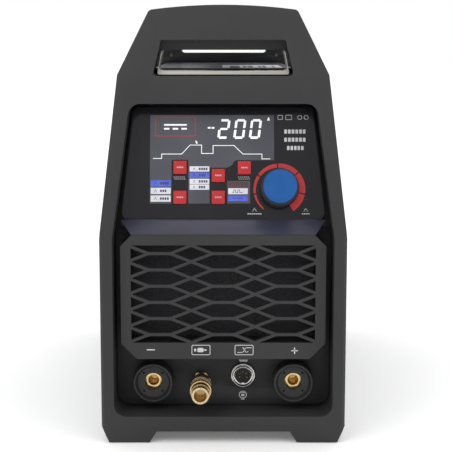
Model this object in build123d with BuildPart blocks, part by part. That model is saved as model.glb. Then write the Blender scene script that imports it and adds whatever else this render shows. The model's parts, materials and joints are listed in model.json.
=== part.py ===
"""A portable TIG welding inverter: moulded end frames, folded steel case, control panel,
grille, welding sockets, gas coupling, rear fan and the electrical parts inside.
Front faces -Y, +Z is up, the feet stand on z = 0, sizes in millimetres."""
from build123d import *
import math
import os

os.makedirs("parts", exist_ok=True)

# ---- Overall case: depths are measured back from the front frame's front plane ----
case_length = 430.0
case_width = 210.0
case_height = 375.0
knee_height = 178.0
shoulder_height = 315.0
panel_lean = 15.0
arch_lean = 25.0
shoulder_width = 182.0
crown_width = 129.5
crown_rise = 4.4
frame_depth = 60.0
frame_shoulder_depth = 40.0
frame_top_depth = 33.0
edge_chamfer = 2.5

# ---- Feet ----
underside_height = 10.2
foot_outer_width = 197.0
foot_inner_width = 128.0
foot_arch_width = 115.0
foot_chamfer_height = 14.6
pad_proud = 0.6
pad_thickness = 5.0
pad_width = 24.0
pad_length = 44.0

# ---- Openings of the end frames ----
rail_width = 10.9
top_rail_height = 24.4
bottom_rail_top = 23.4
opening_radius = 10.5
opening_top_inset = 2.2
front_window_sill = 314.0
front_window_head = 336.0
front_window_head_width = 112.0
front_window_sill_width = 122.0
lintel_recess_top = 344.7
lintel_recess_width = 108.0
lintel_recess_depth = 18.0
rear_window_sill = 330.0
rear_window_head = 343.0
rear_window_width = 94.0
arch_screw_x = 57.6
arch_screw_height = 328.0
arch_screw_radius = 1.2
arch_screw_head = 2.0
liner_wall = 1.3
liner_sill_width = 115.4
liner_head_width = 107.6
liner_floor = 4.2
fit_clearance = 0.3

# ---- Steel case ----
sheet = 1.2
cover_inset = 4.0
cover_top_height = 320.0
cover_flat_width = 122.0
cover_top_shoulder_width = 172.0
cover_shoulder_drop = 18.0
cover_bottom_height = 14.0
groove_depth = 8.0
groove_clearance = 0.4
louvre_length = 56.0
louvre_gap = 4.0
louvre_rise = 3.0
louvre_pitch = 15.0
louvre_rows = 7
tray_flange = 26.0

# ---- Carrying handle ----
grip_width = 34.0
grip_bottom_height = 348.0
grip_top_height = 371.0
grip_radius = 8.0
tongue_length = 34.0
tongue_width = 16.0
tongue_height = 8.0
handle_screw_radius = 2.5
liner_depth = 26.0

# ---- Control panel ----
panel_setback = 24.0
panel_margin = 4.0
panel_top_margin = 1.8
panel_start_height = 191.3
panel_top_gap = 4.0
ledge_width = 156.0
overlay_thickness = 0.8
window_left = -63.6
window_right = 44.2
window_bottom = 13.5
window_top = 91.3
button_size = 11.7
button_gap = 0.4
button_proud = 1.2
button_travel = 0.8
button_flange = 1.4
button_flange_thickness = 1.5
button_places = {
    "mode_button": (-37.5, 45.1),
    "stop_button": (-37.5, 18.9),
    "trigger_button": (-4.3, 38.0),
    "pulse_button": (-4.3, 18.9),
    "save_button": (18.3, 44.8),
}
board_gap = 7.0
board_thickness = 1.6
screw_radius = 1.5

# ---- Rotary control ----
knob_x = 48.6
knob_y = 26.1
knob_skirt_radius = 16.6
knob_cap_radius = 14.6
knob_height = 18.0
knob_lift = 1.2
knob_travel = 0.8
shaft_radius = 3.0
bush_radius = 4.5
running_clearance = 0.05

# ---- Grille ----
grille_setback = 10.0
grille_width = 176.0
grille_bottom = 72.0
grille_top = 180.4
grille_top_chamfer = 9.8
grille_bottom_chamfer = 13.6
grille_opening_width = 158.4
grille_opening_bottom = 86.4
grille_opening_top = 171.5
cell_width = 54.6
cell_flat = 18.5
bar_width = 2.6
bar_depth = 5.0
cell_rows = 6

# ---- Socket panel and what it carries ----
socket_panel_setback = 37.0
moulding_wall = 3.0
socket_height = 48.0
weld_socket_x = 61.4
collar_radius = 17.4
collar_length = 19.0
collar_neck_radius = 12.0
contact_radius = 7.8
contact_bore_radius = 4.5
contact_recess = 11.0
collar_dish_depth = 5.0
collar_dish_taper = 20.0
pin_hole_radius = 0.8
pin_hole_circle = 11.5
contact_bore_depth = 22.0
gas_x = -19.4
gas_height = 46.6
coupling_length = 53.0
coupling_tube_radius = 7.3
coupling_bore_radius = 5.5
coupling_bore_depth = 22.0
sleeve_radius = 9.2
sleeve_length = 26.0
hexagon_flats = 14.5
remote_x = 17.4
remote_shell_radius = 9.4
remote_mouth_radius = 8.5
remote_mouth_depth = 6.0
remote_nut_radius = 10.4
remote_flange_radius = 11.3
remote_flange_height = 1.2
remote_length = 9.0
remote_height = 51.0
remote_insert_radius = 6.8
remote_insert_recess = 2.5

# ---- Rear panel and what it carries ----
rear_panel_setback = 45.0
rear_sheet = 1.5
fan_size = 120.0
fan_depth = 25.0
fan_height = 92.0
fan_opening_radius = 56.0
fan_hole_pitch = 105.0
fan_hub_radius = 20.0
fan_blades = 7
switch_x = -56.0
switch_width = 22.0
switch_height = 30.0
upper_row_height = 232.0
gland_x = 56.0
gland_radius = 11.0
gland_bore_radius = 5.5
gas_inlet_radius = 4.0
gas_inlet_length = 24.0
earth_stud_radius = 3.0

# ---- Worked-out places ----
coupling_overhang = coupling_length - socket_panel_setback
front_y = coupling_overhang - (case_length + coupling_overhang) / 2
rear_y = front_y + case_length
half_width = case_width / 2
shoulder_depth = (shoulder_height - knee_height) * math.tan(math.radians(panel_lean))
crown_height = case_height - crown_rise
top_depth = shoulder_depth + (case_height - shoulder_height) * math.tan(math.radians(arch_lean))
opening_half = half_width - rail_width
opening_top = shoulder_height - top_rail_height
side_slope = (half_width - shoulder_width / 2) / (shoulder_height - knee_height)
opening_top_half = opening_half - side_slope * (opening_top - knee_height) - opening_top_inset


def front_plane(y):
    """A plane across the machine at y, facing the front."""
    return Plane.XZ.offset(-y)


def rear_plane(y):
    """A plane across the machine at y, facing the rear, with its x running to the left."""
    return Plane(origin=(0, y, 0), x_dir=(-1, 0, 0), z_dir=(0, 1, 0))


def mirrored(points):
    """An outline's right half, upwards, followed by its mirror image back down."""
    return points + [(-x, z) for x, z in reversed(points)]


def rounded_outline(points, radius, corners):
    """A closed outline with the corners at the given heights rounded."""
    with BuildSketch() as shape:
        Polygon(*points, align=None)
        for height in corners:
            fillet(shape.vertices().filter_by_position(Axis.Y, height - 0.01, height + 0.01), radius)
    return shape.sketch


def opening_outline(inset):
    """The clear opening of an end frame, made smaller all round by inset."""
    half = opening_half - inset
    top_half = opening_top_half - inset
    low = bottom_rail_top + inset
    high = opening_top - inset
    points = mirrored([(half, low), (half, knee_height), (top_half, high)])
    return rounded_outline(points, opening_radius, (low, high))


def window_outline(inset, sill, head, sill_width, head_width):
    """A hand window through an end frame's arch, made smaller all round by inset."""
    low = sill + inset
    high = head - inset
    points = mirrored([(sill_width / 2 - inset, low), (head_width / 2 - inset, high)])
    return rounded_outline(points, 3.0, (low, high))


def cover_outline(inset):
    """The folded cover's section, open below, made smaller all round by inset."""
    half = half_width - cover_inset - inset
    shoulder_half = cover_top_shoulder_width / 2 - inset
    flat_half = cover_flat_width / 2 - inset * 0.4
    top = cover_top_height - inset
    shoulder = top - cover_shoulder_drop
    low = cover_bottom_height
    points = [(half, low), (half, knee_height), (shoulder_half, shoulder), (flat_half, top)]
    with BuildSketch() as shape:
        Polygon(*mirrored(points), align=None)
    return shape.sketch


def end_profile(extra=0.0):
    """Depth and height points of an end frame's side view; extra deepens its inner edge."""
    return [
        (0, 0),
        (0, knee_height),
        (shoulder_depth, shoulder_height),
        (top_depth, case_height),
        (top_depth + frame_top_depth + extra, case_height),
        (shoulder_depth + frame_shoulder_depth + extra, shoulder_height),
        (frame_depth + extra, knee_height),
        (frame_depth + extra, 0),
    ]


with BuildSketch() as frame_outline:
    with BuildLine():
        right = [
            (-foot_outer_width / 2, pad_proud),
            (foot_outer_width / 2, pad_proud),
            (half_width, foot_chamfer_height),
            (half_width, knee_height),
            (shoulder_width / 2, shoulder_height),
            (crown_width / 2, crown_height),
        ]
        left = [
            (-foot_outer_width / 2, pad_proud),
            (-half_width, foot_chamfer_height),
            (-half_width, knee_height),
            (-shoulder_width / 2, shoulder_height),
            (-crown_width / 2, crown_height),
        ]
        Polyline(*right)
        Polyline(*left)
        ThreePointArc(right[-1], (0, case_height), left[-1])
    make_face()
    crown_corners = frame_outline.vertices().filter_by_position(
        Axis.Y, shoulder_height - 1, case_height
    )
    fillet(crown_corners, 5.0)
    Polygon(
        (-foot_inner_width / 2, 0),
        (foot_inner_width / 2, 0),
        (foot_arch_width / 2, underside_height),
        (-foot_arch_width / 2, underside_height),
        align=None,
        mode=Mode.SUBTRACT,
    )

opening_full = opening_outline(0.0)
front_window_sizes = (front_window_sill, front_window_head, front_window_sill_width,
                      front_window_head_width)
rear_window_sizes = (rear_window_sill, rear_window_head, rear_window_width, rear_window_width)
window_full = window_outline(0.0, *front_window_sizes)
rear_window = window_outline(0.0, *rear_window_sizes)
front_liner_hole = window_outline(
    liner_wall, front_window_sill + liner_floor - liner_wall, front_window_head + 2 * liner_wall,
    liner_sill_width, liner_head_width)
liner_full = window_outline(0.05, front_window_sill, front_window_head, liner_sill_width, liner_head_width)
groove_outer = cover_outline(-groove_clearance)
groove_inner = cover_outline(sheet + groove_clearance)
pad_x = (foot_outer_width + foot_inner_width) / 4
tongue_middle = (grip_bottom_height + grip_top_height) / 2


def arch_screw_plane(end_y, inward, side):
    """The seat of one arch screw, on the leaned inner face of an end frame's arch."""
    run = top_depth + frame_top_depth - shoulder_depth - frame_shoulder_depth
    slope = math.atan2(run, case_height - shoulder_height)
    depth = shoulder_depth + frame_shoulder_depth
    depth += (arch_screw_height - shoulder_height) * math.tan(slope)
    return Plane(
        origin=(side * arch_screw_x, end_y + inward * depth, arch_screw_height),
        x_dir=(1, 0, 0),
        z_dir=(0, inward * math.cos(slope), -math.sin(slope)),
    )


def end_frame(end_y, inward, window):
    """One moulded end frame: bottom rail with feet, side rails, top rail and arch.
    end_y is its outer plane; inward is +1 for the front frame and -1 for the rear one."""
    arch_middle = top_depth + frame_top_depth - 8.0
    with BuildPart() as shell:
        with BuildSketch(front_plane(end_y)):
            add(frame_outline.sketch)
        extrude(amount=2 * frame_depth, both=True)
        with BuildSketch(Plane.YZ):
            Polygon(*[(end_y + inward * d, z) for d, z in end_profile()], align=None)
        extrude(amount=case_width, both=True, mode=Mode.INTERSECT)
        outer_faces = shell.faces().sort_by(Axis.Y, reverse=inward < 0)[0]
        chamfer(outer_faces.edges().filter_by(Axis.Z), edge_chamfer)
        with BuildSketch(front_plane(end_y)):
            add(opening_full)
            add(window)
        extrude(amount=2 * frame_depth, both=True, mode=Mode.SUBTRACT)
        # groove that the folded cover's edge slides into
        with BuildSketch(front_plane(end_y)):
            add(groove_outer)
            add(groove_inner, mode=Mode.SUBTRACT)
            add(window, mode=Mode.SUBTRACT)
        groove = extrude(amount=2 * frame_depth, both=True, mode=Mode.PRIVATE)
        with BuildSketch(Plane.YZ, mode=Mode.PRIVATE) as ahead_of_groove:
            Polygon(*[(end_y + inward * d, z) for d, z in end_profile(-groove_depth - groove_clearance)],
                    align=None)
        ahead = extrude(ahead_of_groove.sketch, amount=case_width, both=True, mode=Mode.PRIVATE)
        add(groove - ahead, mode=Mode.SUBTRACT)
        # tongue that the carrying grip slides over
        with BuildSketch(front_plane(end_y + inward * arch_middle)):
            with Locations((0, tongue_middle)):
                Rectangle(tongue_width, tongue_height)
        extrude(amount=-inward * (8.0 + tongue_length))
        with Locations((0, end_y + inward * (top_depth + frame_top_depth + tongue_length - 12.0),
                        tongue_middle)):
            Cylinder(handle_screw_radius - 0.4, tongue_height * 2, mode=Mode.SUBTRACT)
        # holes for the screws that come up through the bottom rail, and for the arch screws
        with Locations(*[(x, end_y + inward * (frame_depth - 9.0), underside_height)
                         for x in (-40.0, 40.0)]):
            Cylinder(2.2, 40.0, mode=Mode.SUBTRACT)
            Cylinder(4.4, 6.0, mode=Mode.SUBTRACT)
        # pockets for the rubber foot pads
        with BuildSketch(Plane.XY.offset(pad_thickness)):
            with Locations((pad_x, end_y + inward * frame_depth / 2),
                           (-pad_x, end_y + inward * frame_depth / 2)):
                RectangleRounded(pad_width, pad_length, 4.0)
        extrude(amount=-pad_thickness, mode=Mode.SUBTRACT)
    return shell.part


def finish(part, name):
    """Labels a finished piece and writes it under its name."""
    part.label = name
    export_step(part, f"parts/{name}.step")


# the front frame's lintel is recessed above its hand window
with BuildPart() as front_frame:
    add(end_frame(front_y, 1, window_full))
    recess_foot = front_window_head - 1.0
    recess_points = mirrored([(front_window_head_width / 2, recess_foot),
                              (lintel_recess_width / 2, lintel_recess_top)])
    with BuildSketch(front_plane(front_y)):
        add(rounded_outline(recess_points, 2.0, (lintel_recess_top,)))
    lintel_face = shoulder_depth + (front_window_head - shoulder_height) * math.tan(math.radians(arch_lean))
    extrude(amount=-(lintel_face + lintel_recess_depth), mode=Mode.SUBTRACT)
finish(front_frame.part, "front_frame")

# the rear frame takes two screws in its arch's inner face
with BuildPart() as rear_frame:
    add(end_frame(rear_y, -1, rear_window))
    for side in (-1, 1):
        with BuildSketch(arch_screw_plane(rear_y, -1, side)):
            Circle(arch_screw_radius)
        extrude(amount=-10.0, mode=Mode.SUBTRACT)
finish(rear_frame.part, "rear_frame")


# ---- Rubber foot pads, one pressed into each foot ----
pad_y = (front_y + frame_depth / 2, rear_y - frame_depth / 2)
with BuildPart() as foot_pads:
    with BuildSketch(Plane.XY):
        with Locations(*[(x, y) for x in (-pad_x, pad_x) for y in pad_y]):
            RectangleRounded(pad_width - 0.2, pad_length - 0.2, 4.0)
    extrude(amount=pad_thickness)
    chamfer(foot_pads.edges().group_by(Axis.Z)[0], 0.8)
finish(foot_pads.part, "foot_pads")


# ---- Folded steel cover, held by its edges in the two end frames ----
cover_screw_y = (-110.0, 0.0, 110.0)
cover_screw_height = bottom_rail_top + 14.0
cover_face = half_width - cover_inset
louvre_columns = (-70.0, 0.0, 70.0)
louvre_low = knee_height - 18.0 - (louvre_rows - 1) * louvre_pitch
louvre_heights = [louvre_low + row * louvre_pitch for row in range(louvre_rows)]


def louvre_sketch(column, side, drop):
    """The hood profiles of one column of louvres; drop sets the hollow inside each hood."""
    wall = cover_face - drop
    with BuildSketch(Plane.XZ) as hoods:
        for height in louvre_heights:
            top = height + 2 * louvre_gap - drop * 1.5
            points = [
                (wall - 0.2, top),
                (wall + louvre_rise, height + louvre_gap * 0.4),
                (wall + louvre_rise, height - drop),
                (wall - 0.2, height - drop),
            ]
            Polygon(*[(side * x, z) for x, z in points], align=None)
    return Pos(0, column, 0) * hoods.sketch


with BuildPart() as case_cover:
    with BuildSketch(Plane.XZ):
        add(cover_outline(0.0))
        add(cover_outline(sheet), mode=Mode.SUBTRACT)
    extrude(amount=case_length, both=True)
    with BuildSketch(Plane.YZ):
        edge = end_profile(-groove_depth)[4:]
        front_edge = [(front_y + d, z) for d, z in edge]
        rear_edge = [(rear_y - d, z) for d, z in reversed(edge)]
        Polygon(*(front_edge + rear_edge), align=None)
    extrude(amount=case_width, both=True, mode=Mode.INTERSECT)
    # the edge is cut back where the front hand window passes over it
    window_depth = shoulder_depth + frame_shoulder_depth + 2.0
    with BuildSketch(front_plane(front_y)):
        with Locations((0, cover_top_height)):
            Rectangle(front_window_sill_width + 1.0, 12.0)
    extrude(amount=-window_depth, mode=Mode.SUBTRACT)
    for side in (-1, 1):
        for column in louvre_columns:
            extrude(louvre_sketch(column, side, 0.0), amount=louvre_length / 2, both=True)
            hollow = louvre_sketch(column, side, sheet)
            extrude(hollow, amount=louvre_length / 2 - sheet, both=True, mode=Mode.SUBTRACT)
    with BuildSketch(Plane.YZ.offset(-case_width)):
        with Locations(*[(y, cover_screw_height) for y in cover_screw_y]):
            Circle(2.3)
    extrude(amount=2 * case_width, mode=Mode.SUBTRACT)
finish(case_cover.part, "case_cover")


# ---- Steel base tray resting on the two bottom rails ----
tray_front = front_y + socket_panel_setback + moulding_wall + 1.0
tray_back = rear_y - rear_panel_setback - rear_sheet - 1.0
tray_half = cover_face - sheet - fit_clearance
wide_front = front_y + frame_depth + 0.5
wide_back = rear_y - frame_depth - 0.5
tray_top = bottom_rail_top + rear_sheet
base_screw_y = (front_y + frame_depth - 9.0, rear_y - frame_depth + 9.0)
base_screw_x = 40.0
with BuildPart() as base_tray:
    with BuildSketch(Plane.XY.offset(bottom_rail_top)):
        with Locations((0, (tray_front + tray_back) / 2)):
            Rectangle(2 * (opening_half - 9.0), tray_back - tray_front)
        with Locations((0, (wide_front + wide_back) / 2)):
            Rectangle(2 * tray_half, wide_back - wide_front)
        with Locations(*[(x, y) for x in (-base_screw_x, base_screw_x) for y in base_screw_y]):
            Circle(2.0, mode=Mode.SUBTRACT)
    extrude(amount=rear_sheet)
    with BuildSketch(Plane.XY.offset(bottom_rail_top)):
        with Locations((0, (wide_front + wide_back) / 2)):
            Rectangle(2 * tray_half, wide_back - wide_front)
            Rectangle(2 * (tray_half - rear_sheet), wide_back - wide_front, mode=Mode.SUBTRACT)
    extrude(amount=tray_flange)
    with BuildSketch(Plane.YZ.offset(-case_width)):
        with Locations(*[(y, cover_screw_height) for y in cover_screw_y]):
            Circle(2.0)
    extrude(amount=2 * case_width, mode=Mode.SUBTRACT)
finish(base_tray.part, "base_tray")

with BuildPart() as cover_screws:
    for side in (-1, 1):
        for y in cover_screw_y:
            head_plane = Plane(origin=(side * cover_face, y, cover_screw_height), z_dir=(side, 0, 0))
            with BuildSketch(head_plane):
                Circle(4.0)
            extrude(amount=2.2, taper=12)
            with BuildSketch(head_plane):
                Circle(1.9)
            extrude(amount=-8.0)
finish(cover_screws.part, "cover_screws")

with BuildPart() as base_screws:
    places = [(x, y) for x in (-base_screw_x, base_screw_x) for y in base_screw_y]
    with BuildSketch(Plane.XY.offset(underside_height + 0.6)):
        with Locations(*places):
            Circle(4.0)
    extrude(amount=2.4)
    with BuildSketch(Plane.XY.offset(underside_height + 3.0)):
        with Locations(*places):
            Circle(1.9)
    extrude(amount=tray_top + 5.0 - underside_height - 3.0)
finish(base_screws.part, "base_screws")


# ---- Carrying grip, its soft sleeve and its screws ----
grip_middle = (grip_bottom_height + grip_top_height) / 2
tongue_end = top_depth + frame_top_depth + tongue_length
handle_screw_y = (front_y + tongue_end - 12.0, rear_y - tongue_end + 12.0)
pad_recess = 1.6
grip_pad_length = 150.0


def grip_block(inset, length):
    """A bar of the grip's rounded section, made smaller all round by inset."""
    with BuildPart() as bar:
        with BuildSketch(front_plane((front_y + rear_y) / 2)):
            with Locations((0, grip_middle)):
                RectangleRounded(
                    grip_width - 2 * inset,
                    grip_top_height - grip_bottom_height - 2 * inset,
                    grip_radius - inset,
                )
        extrude(amount=length / 2, both=True)
    return bar.part


with BuildPart() as handle_grip:
    add(grip_block(0.0, case_length))
    with BuildSketch(Plane.YZ):
        edge = end_profile(fit_clearance / 2)[4:6]
        front_edge = [(front_y + d, z) for d, z in edge]
        rear_edge = [(rear_y - d, z) for d, z in reversed(edge)]
        Polygon(*(front_edge + rear_edge), align=None)
    extrude(amount=case_width, both=True, mode=Mode.INTERSECT)
    add(grip_block(-1.0, grip_pad_length) - grip_block(pad_recess, grip_pad_length), mode=Mode.SUBTRACT)
    for end_y, inward in ((front_y, 1), (rear_y, -1)):
        with BuildSketch(front_plane(end_y + inward * (tongue_end + 1.0))):
            with Locations((0, grip_middle)):
                Rectangle(tongue_width + 2 * fit_clearance, tongue_height + 2 * fit_clearance)
        extrude(amount=inward * 2 * tongue_length, mode=Mode.SUBTRACT)
    for y in handle_screw_y:
        with Locations((0, y, grip_bottom_height)):
            Cylinder(handle_screw_radius, 2 * (grip_middle - grip_bottom_height), mode=Mode.SUBTRACT)
            Cylinder(handle_screw_radius + 2.3, 6.0, mode=Mode.SUBTRACT)
finish(handle_grip.part, "handle_grip")

with BuildPart() as grip_pad:
    add(grip_block(0.0, grip_pad_length - 0.4) - grip_block(pad_recess - 0.05, case_length))
finish(grip_pad.part, "grip_pad")

with BuildPart() as handle_screws:
    for y in handle_screw_y:
        with Locations((0, y, grip_bottom_height + 0.4)):
            Cylinder(4.4, 2.6, align=(Align.CENTER, Align.CENTER, Align.MIN))
            Cylinder(handle_screw_radius - 0.45, grip_middle - grip_bottom_height + 2.0,
                     align=(Align.CENTER, Align.CENTER, Align.MIN))
finish(handle_screws.part, "handle_screws")


# ---- Bright steel liner of the front hand window ----
# a folded steel sleeve flush with the arch's inner face
with BuildPart() as front_handle_liner:
    with BuildSketch(front_plane(front_y)):
        add(liner_full)
        add(front_liner_hole, mode=Mode.SUBTRACT)
    extrude(amount=3 * frame_depth, both=True)
    with BuildSketch(Plane.YZ):
        inner_edge = end_profile()[4:6]
        outer_edge = [(depth - liner_depth, z) for depth, z in reversed(inner_edge)]
        Polygon(*[(front_y + depth, z) for depth, z in inner_edge + outer_edge], align=None)
    extrude(amount=case_width, both=True, mode=Mode.INTERSECT)
finish(front_handle_liner.part, "front_handle_liner")

with BuildPart() as arch_screws:
    for side in (-1, 1):
        spot = arch_screw_plane(rear_y, -1, side)
        with BuildSketch(spot):
            Circle(arch_screw_head)
        extrude(amount=1.4, taper=10)
        with BuildSketch(spot):
            Circle(arch_screw_radius - 0.1)
        extrude(amount=-9.0)
finish(arch_screws.part, "arch_screws")


# ---- Control panel: leaned fascia with the ledge that runs down to the grille ----
lean = math.radians(panel_lean)
panel_origin_height = 191.5
fascia_plate = moulding_wall
fascia_depth = 9.0
panel_origin_depth = panel_setback + (panel_origin_height - knee_height) * math.tan(lean)
panel_low = (panel_start_height - panel_origin_height) / math.cos(lean)
panel_high = (opening_top - panel_top_gap - panel_origin_height) / math.cos(lean)


def panel_plane(lift=0.0):
    """The leaned control panel's own plane, lift above its front surface."""
    origin = (0, front_y + panel_origin_depth, panel_origin_height)
    plane = Plane(origin=origin, x_dir=(1, 0, 0), z_dir=(0, -math.cos(lean), math.sin(lean)))
    return plane.offset(lift)


def panel_outline(inset, radius):
    """The raised panel's outline in its own plane, made smaller all round by inset."""
    half = opening_half - side_slope * (panel_start_height - knee_height) - panel_margin - inset
    top_half = opening_top_half - panel_top_margin - inset
    points = mirrored([(half, panel_low + inset), (top_half, panel_high - inset)])
    return rounded_outline(points, radius, (panel_low + inset, panel_high - inset))


panel_axis = Axis(panel_plane().origin, panel_plane().z_dir)
button_hole = button_size + 2 * button_gap
button_spots = list(button_places.values())
post_places = [(-72.0, 8.0), (72.0, 8.0), (-66.0, 92.0), (66.0, 92.0)]
board_lift = -(fascia_depth + board_gap - 3.0)

with BuildPart() as control_fascia:
    with BuildSketch(panel_plane()):
        add(panel_outline(0.0, 6.0))
    extrude(amount=-fascia_depth)
    with BuildSketch(panel_plane(-fascia_depth + moulding_wall)):
        flange_low = (grille_top + 5.0 - panel_origin_height) / math.cos(lean)
        flange_high = (opening_top - fit_clearance - panel_origin_height) / math.cos(lean)
        flange_half = opening_half - side_slope * (grille_top + 5.0 - knee_height) - 0.5
        corners = mirrored([(flange_half, flange_low), (opening_top_half - 0.5, flange_high)])
        add(rounded_outline(corners, opening_radius, (flange_high,)))
    extrude(amount=-moulding_wall)
    with BuildSketch(Plane.YZ):
        ledge_front = front_y + grille_setback
        ledge_back = front_y + panel_setback + (panel_start_height - knee_height) * math.tan(lean)
        ledge_low = grille_top + fit_clearance
        Polygon(
            (ledge_front, ledge_low),
            (ledge_back, panel_start_height),
            (ledge_back + 6.0, panel_start_height),
            (ledge_front + 6.0, ledge_low),
            align=None,
        )
    extrude(amount=opening_half - panel_margin - 2.0, both=True)
    with BuildSketch(front_plane(front_y)):
        for side in (-1, 1):
            Polygon(
                (side * ledge_width / 2, ledge_low - 1),
                (side * (opening_half - panel_margin - 2.0), panel_start_height - 0.5),
                (side * opening_half, ledge_low - 1),
                align=None,
            )
    extrude(amount=-(panel_setback + 1.0), mode=Mode.SUBTRACT)
    with BuildSketch(panel_plane(-fascia_depth)):
        add(panel_outline(moulding_wall, 4.0))
    extrude(amount=fascia_depth - fascia_plate, mode=Mode.SUBTRACT)
    with BuildSketch(panel_plane(-fascia_plate)):
        with Locations(*post_places):
            Circle(3.4)
    extrude(amount=board_lift + fascia_plate)
    with BuildSketch(panel_plane(board_lift)):
        with Locations(*post_places):
            Circle(1.3)
    extrude(amount=6.0, mode=Mode.SUBTRACT)
    with BuildSketch(panel_plane(1.0)):
        with Locations(*button_spots):
            RectangleRounded(button_hole, button_hole, 1.2)
        with Locations((knob_x, knob_y)):
            Circle(bush_radius + 0.2)
        with Locations(((window_left + window_right) / 2, window_top - 21.0)):
            Rectangle(window_right - window_left - 8.0, 34.0)
    extrude(amount=-(fascia_plate + 2.0), mode=Mode.SUBTRACT)
finish(control_fascia.part, "control_fascia")

# printed gloss overlay, with the display window let into it
window_width = window_right - window_left
window_cut_x = 24.6
window_cut_y = 51.2


def display_window_outline(inset):
    """The display window: a rectangle with its lower right corner left out for the knob."""
    with BuildSketch() as shape:
        Polygon(
            (window_left + inset, window_bottom + inset),
            (window_cut_x - inset, window_bottom + inset),
            (window_cut_x - inset, window_cut_y + inset),
            (window_right - inset, window_cut_y + inset),
            (window_right - inset, window_top - inset),
            (window_left + inset, window_top - inset),
            align=None,
        )
    return shape.sketch


with BuildPart() as panel_overlay:
    with BuildSketch(panel_plane()):
        add(panel_outline(0.8, 6.0))
        add(display_window_outline(0.0), mode=Mode.SUBTRACT)
        with Locations(*button_spots):
            RectangleRounded(button_hole, button_hole, 1.2, mode=Mode.SUBTRACT)
        with Locations((knob_x, knob_y)):
            Circle(bush_radius + 0.2, mode=Mode.SUBTRACT)
    extrude(amount=overlay_thickness)
finish(panel_overlay.part, "panel_overlay")

with BuildPart() as display_lens:
    with BuildSketch(panel_plane()):
        add(display_window_outline(0.05))
        with Locations(*button_spots):
            RectangleRounded(button_hole, button_hole, 1.2, mode=Mode.SUBTRACT)
    extrude(amount=overlay_thickness)
finish(display_lens.part, "display_lens")

# electronics behind the fascia
board_front = board_lift
switch_top = -(fascia_plate + button_flange_thickness + button_travel + 0.2)
switch_case = 3.4
with BuildPart() as control_board:
    with BuildSketch(panel_plane(board_front)):
        with Locations((0, 50.0)):
            RectangleRounded(156.0, 96.0, 3.0)
        with Locations(*post_places):
            Circle(screw_radius + 0.1, mode=Mode.SUBTRACT)
    extrude(amount=-board_thickness)
    # soldered tact switches, one under each button
    with BuildSketch(panel_plane(board_front)):
        with Locations(*button_spots):
            Rectangle(6.0, 6.0)
    extrude(amount=switch_case)
    with BuildSketch(panel_plane(board_front + switch_case)):
        with Locations(*button_spots):
            Circle(1.7)
    extrude(amount=switch_top - board_front - switch_case)
finish(control_board.part, "control_board")

with BuildPart() as display_module:
    with BuildSketch(panel_plane(board_front)):
        with Locations(((window_left + window_right) / 2, window_top - 21.0)):
            Rectangle(window_width - 10.0, 32.0)
    extrude(amount=-fascia_plate - 0.8 - board_front)
finish(display_module.part, "display_module")

with BuildPart() as board_screws:
    with BuildSketch(panel_plane(board_front - board_thickness)):
        with Locations(*post_places):
            Circle(2.8)
    extrude(amount=-2.0)
    with BuildSketch(panel_plane(board_front - board_thickness)):
        with Locations(*post_places):
            Circle(1.25)
    extrude(amount=board_thickness + 5.0)
finish(board_screws.part, "board_screws")

# push buttons, each a cap with a flange behind the fascia
for name, (x, y) in button_places.items():
    with BuildPart() as button:
        with BuildSketch(panel_plane(-fascia_plate - 0.02)):
            with Locations((x, y)):
                RectangleRounded(button_size, button_size, 1.0)
        extrude(amount=fascia_plate + overlay_thickness + button_proud)
        chamfer(button.faces().sort_by(panel_axis)[-1].edges(), 0.3)
        with BuildSketch(panel_plane(-fascia_plate - 0.02)):
            with Locations((x, y)):
                Rectangle(button_size + 2 * button_flange, button_size + 2 * button_flange)
        extrude(amount=-button_flange_thickness)
    finish(button.part, name)


# ---- Rotary encoder and its knob ----
encoder_size = 13.0
encoder_top = -(fascia_plate + 0.3)
with BuildPart() as encoder_body:
    with BuildSketch(panel_plane(board_front)):
        with Locations((knob_x, knob_y)):
            Rectangle(encoder_size, encoder_size)
    extrude(amount=encoder_top - board_front)
    with BuildSketch(panel_plane(encoder_top)):
        with Locations((knob_x, knob_y)):
            Circle(bush_radius)
    extrude(amount=fascia_plate + 0.3 + 3.2)
    with BuildSketch(panel_plane(board_front + 1.0)):
        with Locations((knob_x, knob_y)):
            Circle(5.4)
    extrude(amount=encoder_top - 1.5 - board_front - 1.0, mode=Mode.SUBTRACT)
    with BuildSketch(panel_plane(board_front + 1.0)):
        with Locations((knob_x, knob_y)):
            Circle(shaft_radius + running_clearance)
    extrude(amount=40.0, mode=Mode.SUBTRACT)
finish(encoder_body.part, "encoder_body")

rotor_low = board_front + 1.0 + knob_travel + 1.2
rotor_high = encoder_top - 1.5 - 0.3
with BuildPart() as encoder_rotor:
    with BuildSketch(panel_plane(rotor_low)):
        with Locations((knob_x, knob_y)):
            Circle(5.0)
            Circle(shaft_radius + running_clearance, mode=Mode.SUBTRACT)
    extrude(amount=rotor_high - rotor_low)
finish(encoder_rotor.part, "encoder_rotor")

knob_base = overlay_thickness + knob_lift
with BuildPart() as encoder_shaft:
    with BuildSketch(panel_plane(board_front + 1.0 + knob_travel + 0.2)):
        with Locations((knob_x, knob_y)):
            Circle(shaft_radius)
    extrude(amount=knob_base + 14.0 - board_front - 1.0 - knob_travel - 0.2)
finish(encoder_shaft.part, "encoder_shaft")

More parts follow.
